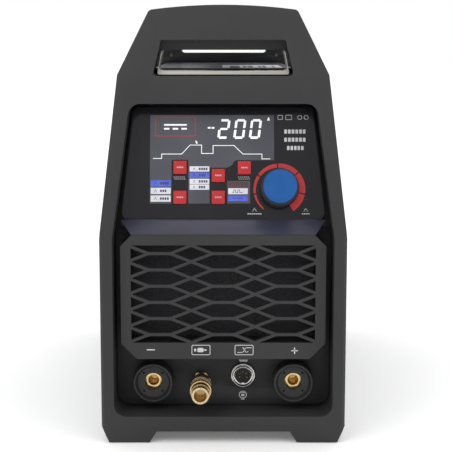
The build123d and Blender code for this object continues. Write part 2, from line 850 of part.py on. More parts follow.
with BuildPart() as knob_body:
    with BuildSketch(panel_plane(knob_base)):
        with Locations((knob_x, knob_y)):
            Circle(knob_skirt_radius)
    extrude(amount=knob_height - 4.0, taper=3)
    with BuildSketch(panel_plane(knob_base)):
        with Locations((knob_x, knob_y)):
            Circle(knob_skirt_radius - 2.5)
            Circle(shaft_radius + 2.5, mode=Mode.SUBTRACT)
    extrude(amount=6.0, mode=Mode.SUBTRACT)
    with BuildSketch(panel_plane(knob_base)):
        with Locations((knob_x, knob_y)):
            Circle(bush_radius + 3.5)
    extrude(amount=4.0, mode=Mode.SUBTRACT)
    with BuildSketch(panel_plane(knob_base)):
        with Locations((knob_x, knob_y)):
            Circle(shaft_radius + 0.02)
    extrude(amount=14.2, mode=Mode.SUBTRACT)
finish(knob_body.part, "knob_body")

cap_lift = knob_base + knob_height - 4.0
with BuildPart() as knob_cap:
    with BuildSketch(panel_plane(cap_lift)):
        with Locations((knob_x, knob_y)):
            Circle(knob_cap_radius)
    extrude(amount=4.0)
    fillet(knob_cap.edges().sort_by(Axis.Y)[0], 1.0)
finish(knob_cap.part, "knob_cap")


# ---- Air grille in front of the lower half ----
grille_centre = (grille_opening_bottom + grille_opening_top) / 2
row_pitch = (grille_opening_top - grille_opening_bottom) / cell_rows
diagonal = math.hypot((cell_width - cell_flat) / 2, row_pitch / 2)
diagonal_angle = math.degrees(math.atan2(row_pitch / 2, (cell_width - cell_flat) / 2))
grille_depth = socket_panel_setback - grille_setback
with BuildPart() as grille_panel:
    with BuildSketch(front_plane(front_y + grille_setback)):
        half = grille_width / 2
        Polygon(
            *mirrored([
                (half - grille_bottom_chamfer, grille_bottom),
                (half, grille_bottom + grille_bottom_chamfer),
                (half, grille_top - grille_top_chamfer),
                (half - grille_top_chamfer, grille_top),
            ]),
            align=None,
        )
        with Locations((0, grille_centre)):
            Rectangle(grille_opening_width, grille_opening_top - grille_opening_bottom, mode=Mode.SUBTRACT)
    extrude(amount=-grille_depth)
    with BuildSketch(front_plane(front_y + grille_setback)):
        for column in (-1, 0, 1):
            for row in range(cell_rows):
                x = column * cell_width
                z = grille_opening_bottom + (row + 0.5) * row_pitch
                with Locations((x, z)):
                    Rectangle(cell_flat + bar_width, bar_width)
                for side in (-1, 1):
                    for rise in (-1, 1):
                        arm_x = x + side * (cell_flat / 2 + (cell_width - cell_flat) / 4)
                        with Locations((arm_x, z + rise * row_pitch / 4)):
                            Rectangle(diagonal + bar_width, bar_width,
                                      rotation=side * rise * diagonal_angle)
        with Locations((0, grille_centre)):
            Rectangle(grille_opening_width + 1.0, grille_opening_top - grille_opening_bottom + 1.0,
                      mode=Mode.INTERSECT)
    extrude(amount=-bar_depth)
finish(grille_panel.part, "grille_panel")


filter_thickness = 4.0
with BuildPart() as dust_filter:
    with BuildSketch(front_plane(front_y + socket_panel_setback - 0.2)):
        with Locations((0, grille_centre)):
            Rectangle(grille_opening_width - 0.6, grille_opening_top - grille_opening_bottom - 0.6)
    extrude(amount=filter_thickness)
finish(dust_filter.part, "dust_filter")


# ---- Socket panel behind the front recess ----
panel_front = front_y + socket_panel_setback
panel_overlap = 8.0
gas_tail_radius = 6.0
with BuildPart() as socket_panel:
    with BuildSketch(front_plane(panel_front)):
        add(opening_outline(fit_clearance))
        with Locations((0, grille_centre)):
            Rectangle(grille_opening_width - 8.0, grille_opening_top - grille_opening_bottom - 8.0,
                      mode=Mode.SUBTRACT)
        with Locations((0, grille_top + panel_overlap + case_height / 2)):
            Rectangle(case_width, case_height, mode=Mode.SUBTRACT)
        with Locations((-weld_socket_x, socket_height), (weld_socket_x, socket_height)):
            Circle(collar_neck_radius + 0.15, mode=Mode.SUBTRACT)
        with Locations((gas_x, gas_height)):
            Circle(gas_tail_radius + 0.15, mode=Mode.SUBTRACT)
        with Locations((remote_x, remote_height)):
            Circle(remote_shell_radius + 0.15, mode=Mode.SUBTRACT)
    extrude(amount=-moulding_wall)
    with BuildSketch(front_plane(panel_front)):
        with Locations((remote_x, remote_height)):
            Circle(remote_flange_radius)
            Circle(remote_shell_radius + 0.15, mode=Mode.SUBTRACT)
    extrude(amount=remote_flange_height)
finish(socket_panel.part, "socket_panel")

collar_rim = panel_front - collar_length
contact_front = collar_rim + contact_recess
for name, x in (("negative_socket", -weld_socket_x), ("positive_socket", weld_socket_x)):
    with BuildPart() as collar:
        with BuildSketch(front_plane(panel_front)):
            with Locations((x, socket_height)):
                Circle(collar_radius)
        extrude(amount=collar_length)
        fillet(collar.edges().sort_by(Axis.Y)[0], 1.2)
        with BuildSketch(front_plane(panel_front)):
            with Locations((x, socket_height)):
                Circle(collar_neck_radius)
        extrude(amount=-(moulding_wall + 14.0))
        with BuildSketch(front_plane(collar_rim)):
            with Locations((x, socket_height)):
                Circle(collar_radius - 2.0)
        extrude(amount=-collar_dish_depth, taper=collar_dish_taper, mode=Mode.SUBTRACT)
        with BuildSketch(front_plane(collar_rim + collar_dish_depth)):
            with Locations((x, socket_height)):
                with PolarLocations(pin_hole_circle, 4, start_angle=45):
                    Circle(pin_hole_radius)
        extrude(amount=-collar_dish_depth, mode=Mode.SUBTRACT)
        with BuildSketch(front_plane(collar_rim)):
            with Locations((x, socket_height)):
                Circle(contact_radius + 0.05)
        extrude(amount=-60.0, mode=Mode.SUBTRACT)
    finish(collar.part, name + "_collar")
    with BuildPart() as contact:
        with BuildSketch(front_plane(contact_front)):
            with Locations((x, socket_height)):
                Circle(contact_radius)
        extrude(amount=-(panel_front - contact_front + moulding_wall + 18.0))
        with BuildSketch(front_plane(contact_front)):
            with Locations((x, socket_height)):
                Circle(contact_bore_radius)
        extrude(amount=-contact_bore_depth, mode=Mode.SUBTRACT)
        with BuildSketch(front_plane(panel_front + moulding_wall + 18.0)):
            with Locations((x, socket_height)):
                Circle(5.0)
        extrude(amount=-16.0)
    finish(contact.part, name + "_contact")

with BuildPart() as socket_lock_nuts:
    with BuildSketch(front_plane(panel_front + moulding_wall)):
        with Locations((-weld_socket_x, socket_height), (weld_socket_x, socket_height)):
            RegularPolygon(collar_radius + 1.0, 6)
            Circle(collar_neck_radius + 0.05, mode=Mode.SUBTRACT)
    extrude(amount=-6.0)


# ---- Gas quick coupling ----
coupling_tip = panel_front - coupling_length
hexagon_radius = hexagon_flats / math.sqrt(3)
hexagon_height = 6.0
with BuildPart() as gas_coupling_body:
    with BuildSketch(front_plane(coupling_tip)):
        with Locations((gas_x, gas_height)):
            Circle(coupling_tube_radius)
    extrude(amount=-(coupling_length - hexagon_height))
    with BuildSketch(front_plane(panel_front - hexagon_height)):
        with Locations((gas_x, gas_height)):
            RegularPolygon(hexagon_radius, 6)
    extrude(amount=-hexagon_height)
    with BuildSketch(front_plane(panel_front)):
        with Locations((gas_x, gas_height)):
            Circle(gas_tail_radius)
    extrude(amount=-(moulding_wall + 15.0))
    with BuildSketch(front_plane(coupling_tip)):
        with Locations((gas_x, gas_height)):
            Circle(coupling_bore_radius)
    extrude(amount=-coupling_bore_depth, mode=Mode.SUBTRACT)
finish(gas_coupling_body.part, "gas_coupling_body")

sleeve_front = coupling_tip + 7.0
with BuildPart() as gas_coupling_sleeve:
    with BuildSketch(front_plane(sleeve_front)):
        with Locations((gas_x, gas_height)):
            Circle(sleeve_radius - 1.0)
    extrude(amount=-8.0)
    with BuildSketch(front_plane(sleeve_front + 8.0)):
        with Locations((gas_x, gas_height)):
            Circle(sleeve_radius)
    extrude(amount=-(sleeve_length - 8.0))
    for groove_start in (2.0, 5.0, 13.0, 16.0, 19.0):
        with BuildSketch(front_plane(sleeve_front + groove_start)):
            with Locations((gas_x, gas_height)):
                Circle(sleeve_radius + 1.0)
                Circle(sleeve_radius - 0.8, mode=Mode.SUBTRACT)
        extrude(amount=-1.2, mode=Mode.SUBTRACT)
    with BuildSketch(front_plane(sleeve_front)):
        with Locations((gas_x, gas_height)):
            Circle(coupling_tube_radius + running_clearance)
    extrude(amount=-sleeve_length, mode=Mode.SUBTRACT)
finish(gas_coupling_sleeve.part, "gas_coupling_sleeve")

with BuildPart() as gas_coupling_nut:
    with BuildSketch(front_plane(panel_front + moulding_wall)):
        with Locations((gas_x, gas_height)):
            RegularPolygon(hexagon_radius, 6)
            Circle(gas_tail_radius + 0.02, mode=Mode.SUBTRACT)
    extrude(amount=-5.0)
lock_nuts = [*socket_lock_nuts.part.solids(), gas_coupling_nut.part.solid()]
finish(Compound(children=lock_nuts), "socket_lock_nuts")


# ---- Remote control socket ----
remote_front = panel_front - remote_length
with BuildPart() as remote_socket_shell:
    with BuildSketch(front_plane(remote_front)):
        with Locations((remote_x, remote_height)):
            Circle(remote_shell_radius)
    extrude(amount=-(remote_length + moulding_wall + 10.0))
    chamfer(remote_socket_shell.edges().sort_by(Axis.Y)[0], 0.5)
    with BuildSketch(front_plane(remote_front)):
        with Locations((remote_x, remote_height)):
            Circle(remote_insert_radius + 0.05)
    extrude(amount=-(remote_length + moulding_wall + 20.0), mode=Mode.SUBTRACT)
    with BuildSketch(front_plane(remote_front)):
        with Locations((remote_x, remote_height)):
            Circle(remote_mouth_radius)
    extrude(amount=-remote_mouth_depth, mode=Mode.SUBTRACT)
finish(remote_socket_shell.part, "remote_socket_shell")

contact_spots = [(remote_x + 3.7 * math.cos(math.radians(angle)),
                  remote_height + 3.7 * math.sin(math.radians(angle)))
                 for angle in (-20.0, 35.0, 90.0, 145.0, 200.0)]
with BuildPart() as remote_socket_insert:
    with BuildSketch(front_plane(remote_front + remote_insert_recess)):
        with Locations((remote_x, remote_height)):
            Circle(remote_insert_radius)
        with Locations((remote_x, remote_height - remote_insert_radius)):
            Rectangle(2.4, 3.6, mode=Mode.SUBTRACT)
        with Locations(*contact_spots):
            Circle(1.0, mode=Mode.SUBTRACT)
    extrude(amount=-14.0)
finish(remote_socket_insert.part, "remote_socket_insert")

with BuildPart() as remote_socket_contacts:
    with BuildSketch(front_plane(remote_front + remote_insert_recess + 2.5)):
        with Locations(*contact_spots):
            Circle(0.98)
            Circle(0.5, mode=Mode.SUBTRACT)
    extrude(amount=-18.0)
finish(remote_socket_contacts.part, "remote_socket_contacts")

with BuildPart() as remote_socket_nut:
    with BuildSketch(front_plane(panel_front - remote_flange_height - 3.0)):
        with Locations((remote_x, remote_height)):
            Circle(remote_nut_radius)
            Circle(remote_shell_radius + 0.05, mode=Mode.SUBTRACT)
    extrude(amount=-3.0)
finish(remote_socket_nut.part, "remote_socket_nut")


# ---- Rear panel ----
rear_face = rear_y - rear_panel_setback
fan_hole = fan_hole_pitch / 2
fan_spots = [(x, fan_height + z) for x in (-fan_hole, fan_hole) for z in (-fan_hole, fan_hole)]
gland_neck_radius = 8.0
inlet_x = 20.0
stud_x = 78.0
stud_height = 178.0
with BuildPart() as rear_panel:
    with BuildSketch(front_plane(rear_face)):
        add(opening_outline(fit_clearance))
        with Locations((0, fan_height)):
            Circle(fan_opening_radius, mode=Mode.SUBTRACT)
        with Locations(*fan_spots):
            Circle(2.2, mode=Mode.SUBTRACT)
        with Locations((switch_x, upper_row_height)):
            Rectangle(switch_width, switch_height, mode=Mode.SUBTRACT)
        with Locations((gland_x, upper_row_height)):
            Circle(gland_neck_radius + 0.15, mode=Mode.SUBTRACT)
        with Locations((inlet_x, upper_row_height)):
            Circle(5.15, mode=Mode.SUBTRACT)
        with Locations((stud_x, stud_height)):
            Circle(earth_stud_radius + 0.15, mode=Mode.SUBTRACT)
    extrude(amount=rear_sheet)
finish(rear_panel.part, "rear_panel")


# ---- Cooling fan: frame with motor mount, rotor, guard and screws ----
fan_outer = rear_face - rear_sheet
fan_inner = fan_outer - fan_depth
fan_bore_radius = 56.5
with BuildPart() as fan_frame:
    with BuildSketch(front_plane(fan_outer)):
        with Locations((0, fan_height)):
            RectangleRounded(fan_size, fan_size, 6.0)
            Circle(fan_bore_radius, mode=Mode.SUBTRACT)
        with Locations(*fan_spots):
            Circle(2.2, mode=Mode.SUBTRACT)
    extrude(amount=fan_depth)
    with BuildSketch(front_plane(fan_inner)):
        with Locations((0, fan_height)):
            Circle(fan_hub_radius)
            Rectangle(2 * fan_bore_radius + 2, 5.0)
            Rectangle(5.0, 2 * fan_bore_radius + 2)
    extrude(amount=-4.0)
    with BuildSketch(front_plane(fan_inner + 4.0)):
        with Locations((0, fan_height)):
            Circle(2.0 - running_clearance)
    extrude(amount=-12.0)
finish(fan_frame.part, "fan_frame")

rotor_inner = fan_inner + 4.0 + 1.0
rotor_outer = fan_outer - 1.5
blade_radius = fan_bore_radius - 1.5
with BuildPart() as fan_rotor:
    with BuildSketch(front_plane(rotor_inner)):
        with Locations((0, fan_height)):
            Circle(fan_hub_radius)
            Circle(2.0, mode=Mode.SUBTRACT)
    extrude(amount=-(rotor_outer - rotor_inner))
    with BuildSketch(front_plane(rotor_inner)):
        with Locations((0, fan_height)):
            Circle(2.0)
    extrude(amount=-(rotor_outer - rotor_inner), mode=Mode.SUBTRACT)
    with BuildSketch(front_plane(rotor_outer - 1.6)):
        with Locations((0, fan_height)):
            Circle(fan_hub_radius)
    extrude(amount=-1.6)
    for blade in range(fan_blades):
        turn = 360.0 * blade / fan_blades
        root_plane = Plane(
            origin=(0, (rotor_inner + rotor_outer) / 2, fan_height),
            x_dir=(0, 1, 0),
            z_dir=(math.cos(math.radians(turn)), 0, math.sin(math.radians(turn))),
        )
        with BuildSketch(root_plane.offset(fan_hub_radius - 1.0)):
            Rectangle(rotor_outer - rotor_inner - 3.0, 2.4, rotation=50)
        with BuildSketch(root_plane.offset(blade_radius)):
            Rectangle((rotor_outer - rotor_inner - 3.0) * 1.25, 1.4, rotation=28)
        loft()
finish(fan_rotor.part, "fan_rotor")

wire_radius = 1.1
spoke_radius = 1.35
with BuildPart() as fan_guard:
    for ring_radius in (14.0, 25.0, 36.0, 47.0, 57.5):
        with BuildSketch(Plane.XY.offset(fan_height)):
            with Locations((ring_radius, rear_face + 3 * wire_radius)):
                Circle(wire_radius)
        revolve(axis=Axis((0, 0, fan_height), (0, 1, 0)))
    for side in (-1, 1):
        for rise in (-1, 1):
            angle = math.degrees(math.atan2(rise, side))
            spoke = Plane(
                origin=(0, rear_face + spoke_radius + 0.02, fan_height),
                z_dir=(math.cos(math.radians(angle)), 0, math.sin(math.radians(angle))),
            )
            with BuildSketch(spoke.offset(13.0)):
                Circle(spoke_radius)
            extrude(amount=fan_hole * math.sqrt(2) - 13.0 - 3.9)
    with BuildSketch(rear_plane(rear_face)):
        with Locations(*fan_spots):
            Circle(4.2)
            Circle(2.2, mode=Mode.SUBTRACT)
    extrude(amount=2 * wire_radius)
finish(fan_guard.part, "fan_guard")

with BuildPart() as fan_screws:
    with BuildSketch(rear_plane(rear_face + 2 * wire_radius)):
        with Locations(*fan_spots):
            Circle(3.8)
    extrude(amount=2.6, taper=10)
    with BuildSketch(rear_plane(rear_face + 2 * wire_radius)):
        with Locations(*fan_spots):
            Circle(1.95)
    extrude(amount=-(2 * wire_radius + rear_sheet + fan_depth + 3.0))
finish(fan_screws.part, "fan_screws")


# ---- Power switch ----
rocker_width = switch_width - 7.0
rocker_height = switch_height - 7.0
rocker_tilt = 12.0
pivot_y = rear_face - 2.0
with BuildPart() as power_switch_body:
    with BuildSketch(rear_plane(rear_face)):
        with Locations((-switch_x, upper_row_height)):
            RectangleRounded(switch_width + 4.0, switch_height + 4.0, 2.0)
    extrude(amount=2.5)
    with BuildSketch(rear_plane(rear_face)):
        with Locations((-switch_x, upper_row_height)):
            Rectangle(switch_width - 0.4, switch_height - 0.4)
    extrude(amount=-24.0)
    with BuildSketch(rear_plane(rear_face + 2.5)):
        with Locations((-switch_x, upper_row_height)):
            Rectangle(rocker_width + 0.8, rocker_height + 3.0)
    extrude(amount=-18.0, mode=Mode.SUBTRACT)
    with BuildSketch(Plane.YZ.offset(switch_x - rocker_width / 2 - 1.0)):
        with Locations((pivot_y, upper_row_height)):
            Circle(1.5 - running_clearance)
    extrude(amount=rocker_width + 2.0)
finish(power_switch_body.part, "power_switch_body")

reach = rocker_height / 2
valley = 3.0
crest = valley + reach * math.tan(math.radians(rocker_tilt))
with BuildPart() as power_switch_rocker:
    tilt = math.radians(rocker_tilt)
    rocker_plane = Plane(
        origin=(switch_x - rocker_width / 2, pivot_y, upper_row_height),
        x_dir=(0, math.cos(tilt), math.sin(tilt)),
        z_dir=(1, 0, 0),
    )
    with BuildSketch(rocker_plane):
        Polygon(
            (-4.0, -reach * 0.5), (crest, -reach), (valley, 0), (crest, reach), (-4.0, reach * 0.5),
            align=None,
        )
        Circle(1.5, mode=Mode.SUBTRACT)
    extrude(amount=rocker_width)
finish(power_switch_rocker.part, "power_switch_rocker")


# ---- Cable gland, gas inlet, earth stud and rating plate on the rear panel ----
with BuildPart() as cable_gland:
    with BuildSketch(rear_plane(rear_face)):
        with Locations((-gland_x, upper_row_height)):
            RegularPolygon(gland_radius + 1.6, 6)
    extrude(amount=6.0)
    with BuildSketch(rear_plane(rear_face + 6.0)):
        with Locations((-gland_x, upper_row_height)):
            Circle(gland_radius)
    extrude(amount=12.0, taper=8)
    with BuildSketch(rear_plane(rear_face)):
        with Locations((-gland_x, upper_row_height)):
            Circle(gland_neck_radius)
    extrude(amount=-(rear_sheet + 9.0))
    with BuildSketch(rear_plane(rear_face + 18.0)):
        with Locations((-gland_x, upper_row_height)):
            Circle(gland_bore_radius)
    extrude(amount=-40.0, mode=Mode.SUBTRACT)

with BuildPart() as gland_nut:
    with BuildSketch(rear_plane(rear_face - rear_sheet)):
        with Locations((-gland_x, upper_row_height)):
            RegularPolygon(gland_radius + 1.6, 6)
            Circle(gland_neck_radius + 0.05, mode=Mode.SUBTRACT)
    extrude(amount=-5.0)
finish(Compound(children=[cable_gland.part.solid(), gland_nut.part.solid()]), "cable_gland")

with BuildPart() as gas_inlet:
    with BuildSketch(rear_plane(rear_face)):
        with Locations((-inlet_x, upper_row_height)):
            RegularPolygon(8.0, 6)
    extrude(amount=6.0)
    with BuildSketch(rear_plane(rear_face + 6.0)):
        with Locations((-inlet_x, upper_row_height)):
            Circle(gas_inlet_radius)
    extrude(amount=gas_inlet_length)
    chamfer(gas_inlet.edges().sort_by(Axis.Y)[-1], 0.8)
    with BuildSketch(rear_plane(rear_face)):
        with Locations((-inlet_x, upper_row_height)):
            Circle(5.0)
    extrude(amount=-(rear_sheet + 10.0))
    with BuildSketch(rear_plane(rear_face + 6.0 + gas_inlet_length)):
        with Locations((-inlet_x, upper_row_height)):
            Circle(2.2)
    extrude(amount=-60.0, mode=Mode.SUBTRACT)
finish(gas_inlet.part, "gas_inlet")

with BuildPart() as earth_stud:
    with BuildSketch(rear_plane(rear_face - rear_sheet)):
        with Locations((-stud_x, stud_height)):
            RegularPolygon(5.8, 6)
    extrude(amount=-4.0)
    with BuildSketch(rear_plane(rear_face - rear_sheet)):
        with Locations((-stud_x, stud_height)):
            Circle(earth_stud_radius)
    extrude(amount=rear_sheet + 18.0)

with BuildPart() as earth_nut:
    with BuildSketch(rear_plane(rear_face)):
        with Locations((-stud_x, stud_height)):
            RegularPolygon(5.8, 6)
            Circle(earth_stud_radius + 0.02, mode=Mode.SUBTRACT)
    extrude(amount=5.0)
finish(Compound(children=[earth_stud.part.solid(), earth_nut.part.solid()]), "earth_stud")

with BuildPart() as rating_plate:
    with BuildSketch(rear_plane(rear_face)):
        with Locations((-(switch_x + inlet_x) / 2, upper_row_height + 4.0)):
            RectangleRounded(38.0, 46.0, 2.0)
    extrude(amount=0.5)
finish(rating_plate.part, "rating_plate")


# ---- Electrical parts inside ----
board_height = 196.0
power_board_length = 230.0
power_board_width = 150.0
board_y = 2.0
support_x = power_board_width / 2 - 6.0
with BuildPart() as power_board:
    with BuildSketch(Plane.XY.offset(board_height)):
        with Locations((0, board_y)):
            Rectangle(power_board_width, power_board_length)
    extrude(amount=board_thickness)

with BuildPart() as board_supports:
    for side in (-1, 1):
        with BuildSketch(Plane.YZ.offset(side * support_x)):
            with Locations((board_y, (tray_top + board_height) / 2)):
                Rectangle(power_board_length - 60.0, board_height - tray_top)
            with Locations((board_y, (tray_top + board_height) / 2)):
                Rectangle(power_board_length - 100.0, board_height - tray_top - 50.0,
                          mode=Mode.SUBTRACT)
        extrude(amount=rear_sheet / 2, both=True)
finish(board_supports.part, "board_supports")

fin_pitch = 7.0
fin_count = 14
sink_depth = 52.0
sink_length = 90.0
with BuildPart() as heat_sinks:
    for y in (board_y - 50.0, board_y + 52.0):
        with BuildSketch(front_plane(y)):
            with Locations((0, board_height - 3.0)):
                Rectangle(fin_count * fin_pitch, 6.0)
            for fin in range(fin_count):
                with Locations(((fin - (fin_count - 1) / 2) * fin_pitch, board_height - sink_depth / 2)):
                    Rectangle(2.0, sink_depth)
        extrude(amount=sink_length / 2, both=True)
finish(heat_sinks.part, "heat_sinks")

with BuildPart() as filter_capacitors:
    with BuildSketch(Plane.XY.offset(board_height + board_thickness)):
        with Locations((0, board_y + 60.0)):
            with GridLocations(36.0, 40.0, 3, 2):
                Circle(15.0)
    extrude(amount=48.0)
    fillet(filter_capacitors.edges().group_by(Axis.Z)[-1], 1.5)
soldered = [power_board.part.solid(), *filter_capacitors.part.solids()]
finish(Compound(children=soldered), "power_board")

transformer_y = 30.0
with BuildPart() as main_transformer:
    with BuildSketch(Plane.XY.offset(tray_top)):
        with Locations((-12.0, transformer_y)):
            Rectangle(84.0, 60.0)
    extrude(amount=72.0)
    for side in (-1, 1):
        with BuildSketch(Plane.XY.offset(tray_top + 12.0)):
            with Locations((-12.0 + side * 22.0, transformer_y)):
                Rectangle(18.0, 100.0, mode=Mode.ADD)
        extrude(amount=48.0, mode=Mode.SUBTRACT)

with BuildPart() as transformer_windings:
    with BuildSketch(Plane.XY.offset(tray_top + 12.5)):
        with Locations((-12.0, transformer_y)):
            RectangleRounded(61.0, 78.0, 8.0)
            Rectangle(27.0, 61.0, mode=Mode.SUBTRACT)
    extrude(amount=47.0)
transformer = Compound(children=[main_transformer.part.solid(), transformer_windings.part.solid()])
finish(transformer, "main_transformer")

with BuildPart() as output_choke:
    with BuildSketch(Plane.XZ):
        with Locations((28.0, tray_top + 14.0)):
            RectangleRounded(22.0, 28.0, 6.0)
    revolve(axis=Axis.Z)
choke = output_choke.part.moved(Location((0.0, -62.0, 0.0)))
finish(choke, "output_choke")

valve_front = panel_front + moulding_wall + 15.0
valve_width = 28.0
plunger_radius = 4.0
valve_travel = 1.5
valve_top = 74.0
with BuildPart() as gas_valve_body:
    with BuildSketch(Plane.XY.offset(tray_top)):
        with Locations((gas_x, valve_front + 15.0)):
            Rectangle(valve_width, 30.0)
    extrude(amount=valve_top - tray_top)
    with BuildSketch(Plane.XY.offset(gas_height)):
        with Locations((gas_x, valve_front + 15.0)):
            Circle(plunger_radius + running_clearance)
    extrude(amount=valve_top - gas_height - 3.0, mode=Mode.SUBTRACT)
finish(gas_valve_body.part, "gas_valve_body")

with BuildPart() as gas_valve_plunger:
    with BuildSketch(Plane.XY.offset(gas_height + 0.1)):
        with Locations((gas_x, valve_front + 15.0)):
            Circle(plunger_radius)
    extrude(amount=valve_top - gas_height - 3.2 - valve_travel)
finish(gas_valve_plunger.part, "gas_valve_plunger")
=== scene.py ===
import json
import math
import bmesh
import bpy
from mathutils import Matrix, Vector


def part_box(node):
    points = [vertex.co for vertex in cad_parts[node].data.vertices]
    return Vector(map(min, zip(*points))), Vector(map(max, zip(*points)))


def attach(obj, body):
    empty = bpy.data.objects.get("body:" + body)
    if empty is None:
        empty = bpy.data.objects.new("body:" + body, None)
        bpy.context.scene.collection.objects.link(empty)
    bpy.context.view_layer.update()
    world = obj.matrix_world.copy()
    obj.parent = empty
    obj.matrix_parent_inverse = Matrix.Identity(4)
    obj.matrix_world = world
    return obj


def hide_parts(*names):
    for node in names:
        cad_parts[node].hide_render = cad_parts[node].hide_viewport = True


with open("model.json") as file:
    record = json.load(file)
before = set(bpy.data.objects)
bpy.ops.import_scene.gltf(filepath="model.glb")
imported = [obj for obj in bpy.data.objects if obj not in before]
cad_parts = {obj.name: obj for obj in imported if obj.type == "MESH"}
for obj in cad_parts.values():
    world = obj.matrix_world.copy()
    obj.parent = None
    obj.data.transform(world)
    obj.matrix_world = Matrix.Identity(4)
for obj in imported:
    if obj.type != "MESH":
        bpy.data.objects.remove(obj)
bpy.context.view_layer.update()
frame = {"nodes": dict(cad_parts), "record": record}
nodes = frame["nodes"]


# ---- Moulded end frames: glass-filled nylon, spark-eroded grain, edges broken by the tool ----
# Each frame is one moulding. A copy of its solid is cleaned and its sharp edges are rounded.
def deselect_all():
    """Leaves edit mode, with nothing selected."""
    if bpy.context.object and bpy.context.object.mode != "OBJECT":
        bpy.ops.object.mode_set(mode="OBJECT")
    bpy.ops.object.select_all(action="DESELECT")


def make_active(piece):
    """Selects one piece alone, for the next operator."""
    deselect_all()
    piece.select_set(True)
    bpy.context.view_layer.objects.active = piece


def rounded_copy(node, name, radius, segments=2, body="root"):
    """A cleaned copy of a moulded or turned part, its sharp edges rounded, standing for the node."""
    merge_distance, flat_angle, sharp_angle, smooth_angle = 0.00001, 0.6, 28.0, 32.0
    piece = bpy.data.objects.new(name, nodes[node].data.copy())
    bpy.context.scene.collection.objects.link(piece)
    make_active(piece)
    bpy.ops.object.mode_set(mode="EDIT")
    bpy.ops.mesh.select_all(action="SELECT")
    bpy.ops.mesh.remove_doubles(threshold=merge_distance)
    bpy.ops.mesh.dissolve_limited(angle_limit=math.radians(flat_angle))
    bpy.ops.object.mode_set(mode="OBJECT")
    bevel = piece.modifiers.new("edge rounding", "BEVEL")
    bevel.width = radius
    bevel.segments = segments
    bevel.limit_method = "ANGLE"
    bevel.angle_limit = math.radians(sharp_angle)
    bevel.miter_outer = "MITER_ARC"
    bpy.ops.object.modifier_apply(modifier=bevel.name)
    bpy.ops.object.shade_smooth_by_angle(angle=math.radians(smooth_angle))
    piece.data.materials.clear()
    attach(piece, body)
    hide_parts(node)
    return piece


def finished(piece, material):
    """Gives a piece its finish."""
    piece.data.materials.append(material)


def new_material(name):
    """A material with its shader ready to be wired."""
    material = bpy.data.materials.new(name)
    material.use_nodes = True
    tree = material.node_tree
    return material, tree, tree.nodes["Principled BSDF"]


def add_node(tree, kind, **settings):
    """A shader node with its sockets or options set."""
    node = tree.nodes.new(kind)
    for key, value in settings.items():
        if key in node.inputs:
            node.inputs[key].default_value = value
        else:
            setattr(node, key, value)
    return node


def object_noise(tree, scale, detail=3.0):
    """An uneven pattern fixed to the piece, scale being its waves per metre."""
    place = add_node(tree, "ShaderNodeTexCoord")
    noise = add_node(tree, "ShaderNodeTexNoise", Scale=scale, Detail=detail, Roughness=0.55)
    tree.links.new(place.outputs["Object"], noise.inputs["Vector"])
    return noise.outputs["Fac"]


def spread(tree, source, low, high, start=0.35, end=0.65):
    """Turns a 0 to 1 pattern into a value between low and high."""
    node = add_node(tree, "ShaderNodeMapRange")
    node.inputs["From Min"].default_value = start
    node.inputs["From Max"].default_value = end
    node.inputs["To Min"].default_value = low
    node.inputs["To Max"].default_value = high
    tree.links.new(source, node.inputs["Value"])
    return node.outputs["Result"]


def two_tones(tree, source, first, second, start=0.35, end=0.65):
    """Turns a 0 to 1 pattern into a colour between first and second."""
    ramp = add_node(tree, "ShaderNodeValToRGB")
    ramp.color_ramp.elements[0].position = start
    ramp.color_ramp.elements[0].color = (*first, 1)
    ramp.color_ramp.elements[1].position = end
    ramp.color_ramp.elements[1].color = (*second, 1)
    tree.links.new(source, ramp.inputs["Fac"])
    return ramp.outputs["Color"]


def bump(tree, shader, source, strength, distance):
    """Raises the surface by a pattern, distance being its height in metres."""
    node = add_node(tree, "ShaderNodeBump", Strength=strength, Distance=distance)
    tree.links.new(source, node.inputs["Height"])
    tree.links.new(node.outputs["Normal"], shader.inputs["Normal"])


def moulded_plastic(name, first, second, roughness, grain, depth, specular=0.4):
    """Moulded plastic: slow colour drift, a fine eroded grain and a slightly uneven sheen."""
    material, tree, shader = new_material(name)
    slow = object_noise(tree, 14.0)
    fine = object_noise(tree, grain, detail=2.0)
    tree.links.new(two_tones(tree, slow, first, second), shader.inputs["Base Color"])
    tree.links.new(spread(tree, fine, roughness - 0.05, roughness + 0.06), shader.inputs["Roughness"])
    shader.inputs["Specular IOR Level"].default_value = specular
    bump(tree, shader, fine, 0.5, depth)
    return material


frame_plastic = moulded_plastic("frame_moulding", (0.026, 0.026, 0.0275), (0.030, 0.030, 0.0315),
                                0.55, 1500.0, 0.00006, 0.3)
for node in ("front_frame", "rear_frame"):
    finished(rounded_copy(node, node + "_moulding", 0.0010), frame_plastic)


# ---- Foot pads: four rubber blocks pressed into pockets under the frames ----
# Moulded black rubber, matt and a little dusty, with their lower edges broken.
def give(material, *names):
    """Puts one finish on several CAD nodes."""
    for node in names:
        nodes[node].data.materials.clear()
        nodes[node].data.materials.append(material)


rubber = moulded_plastic("rubber", (0.022, 0.022, 0.023), (0.028, 0.028, 0.029),
                         0.72, 900.0, 0.00008, 0.25)
give(rubber, "foot_pads")


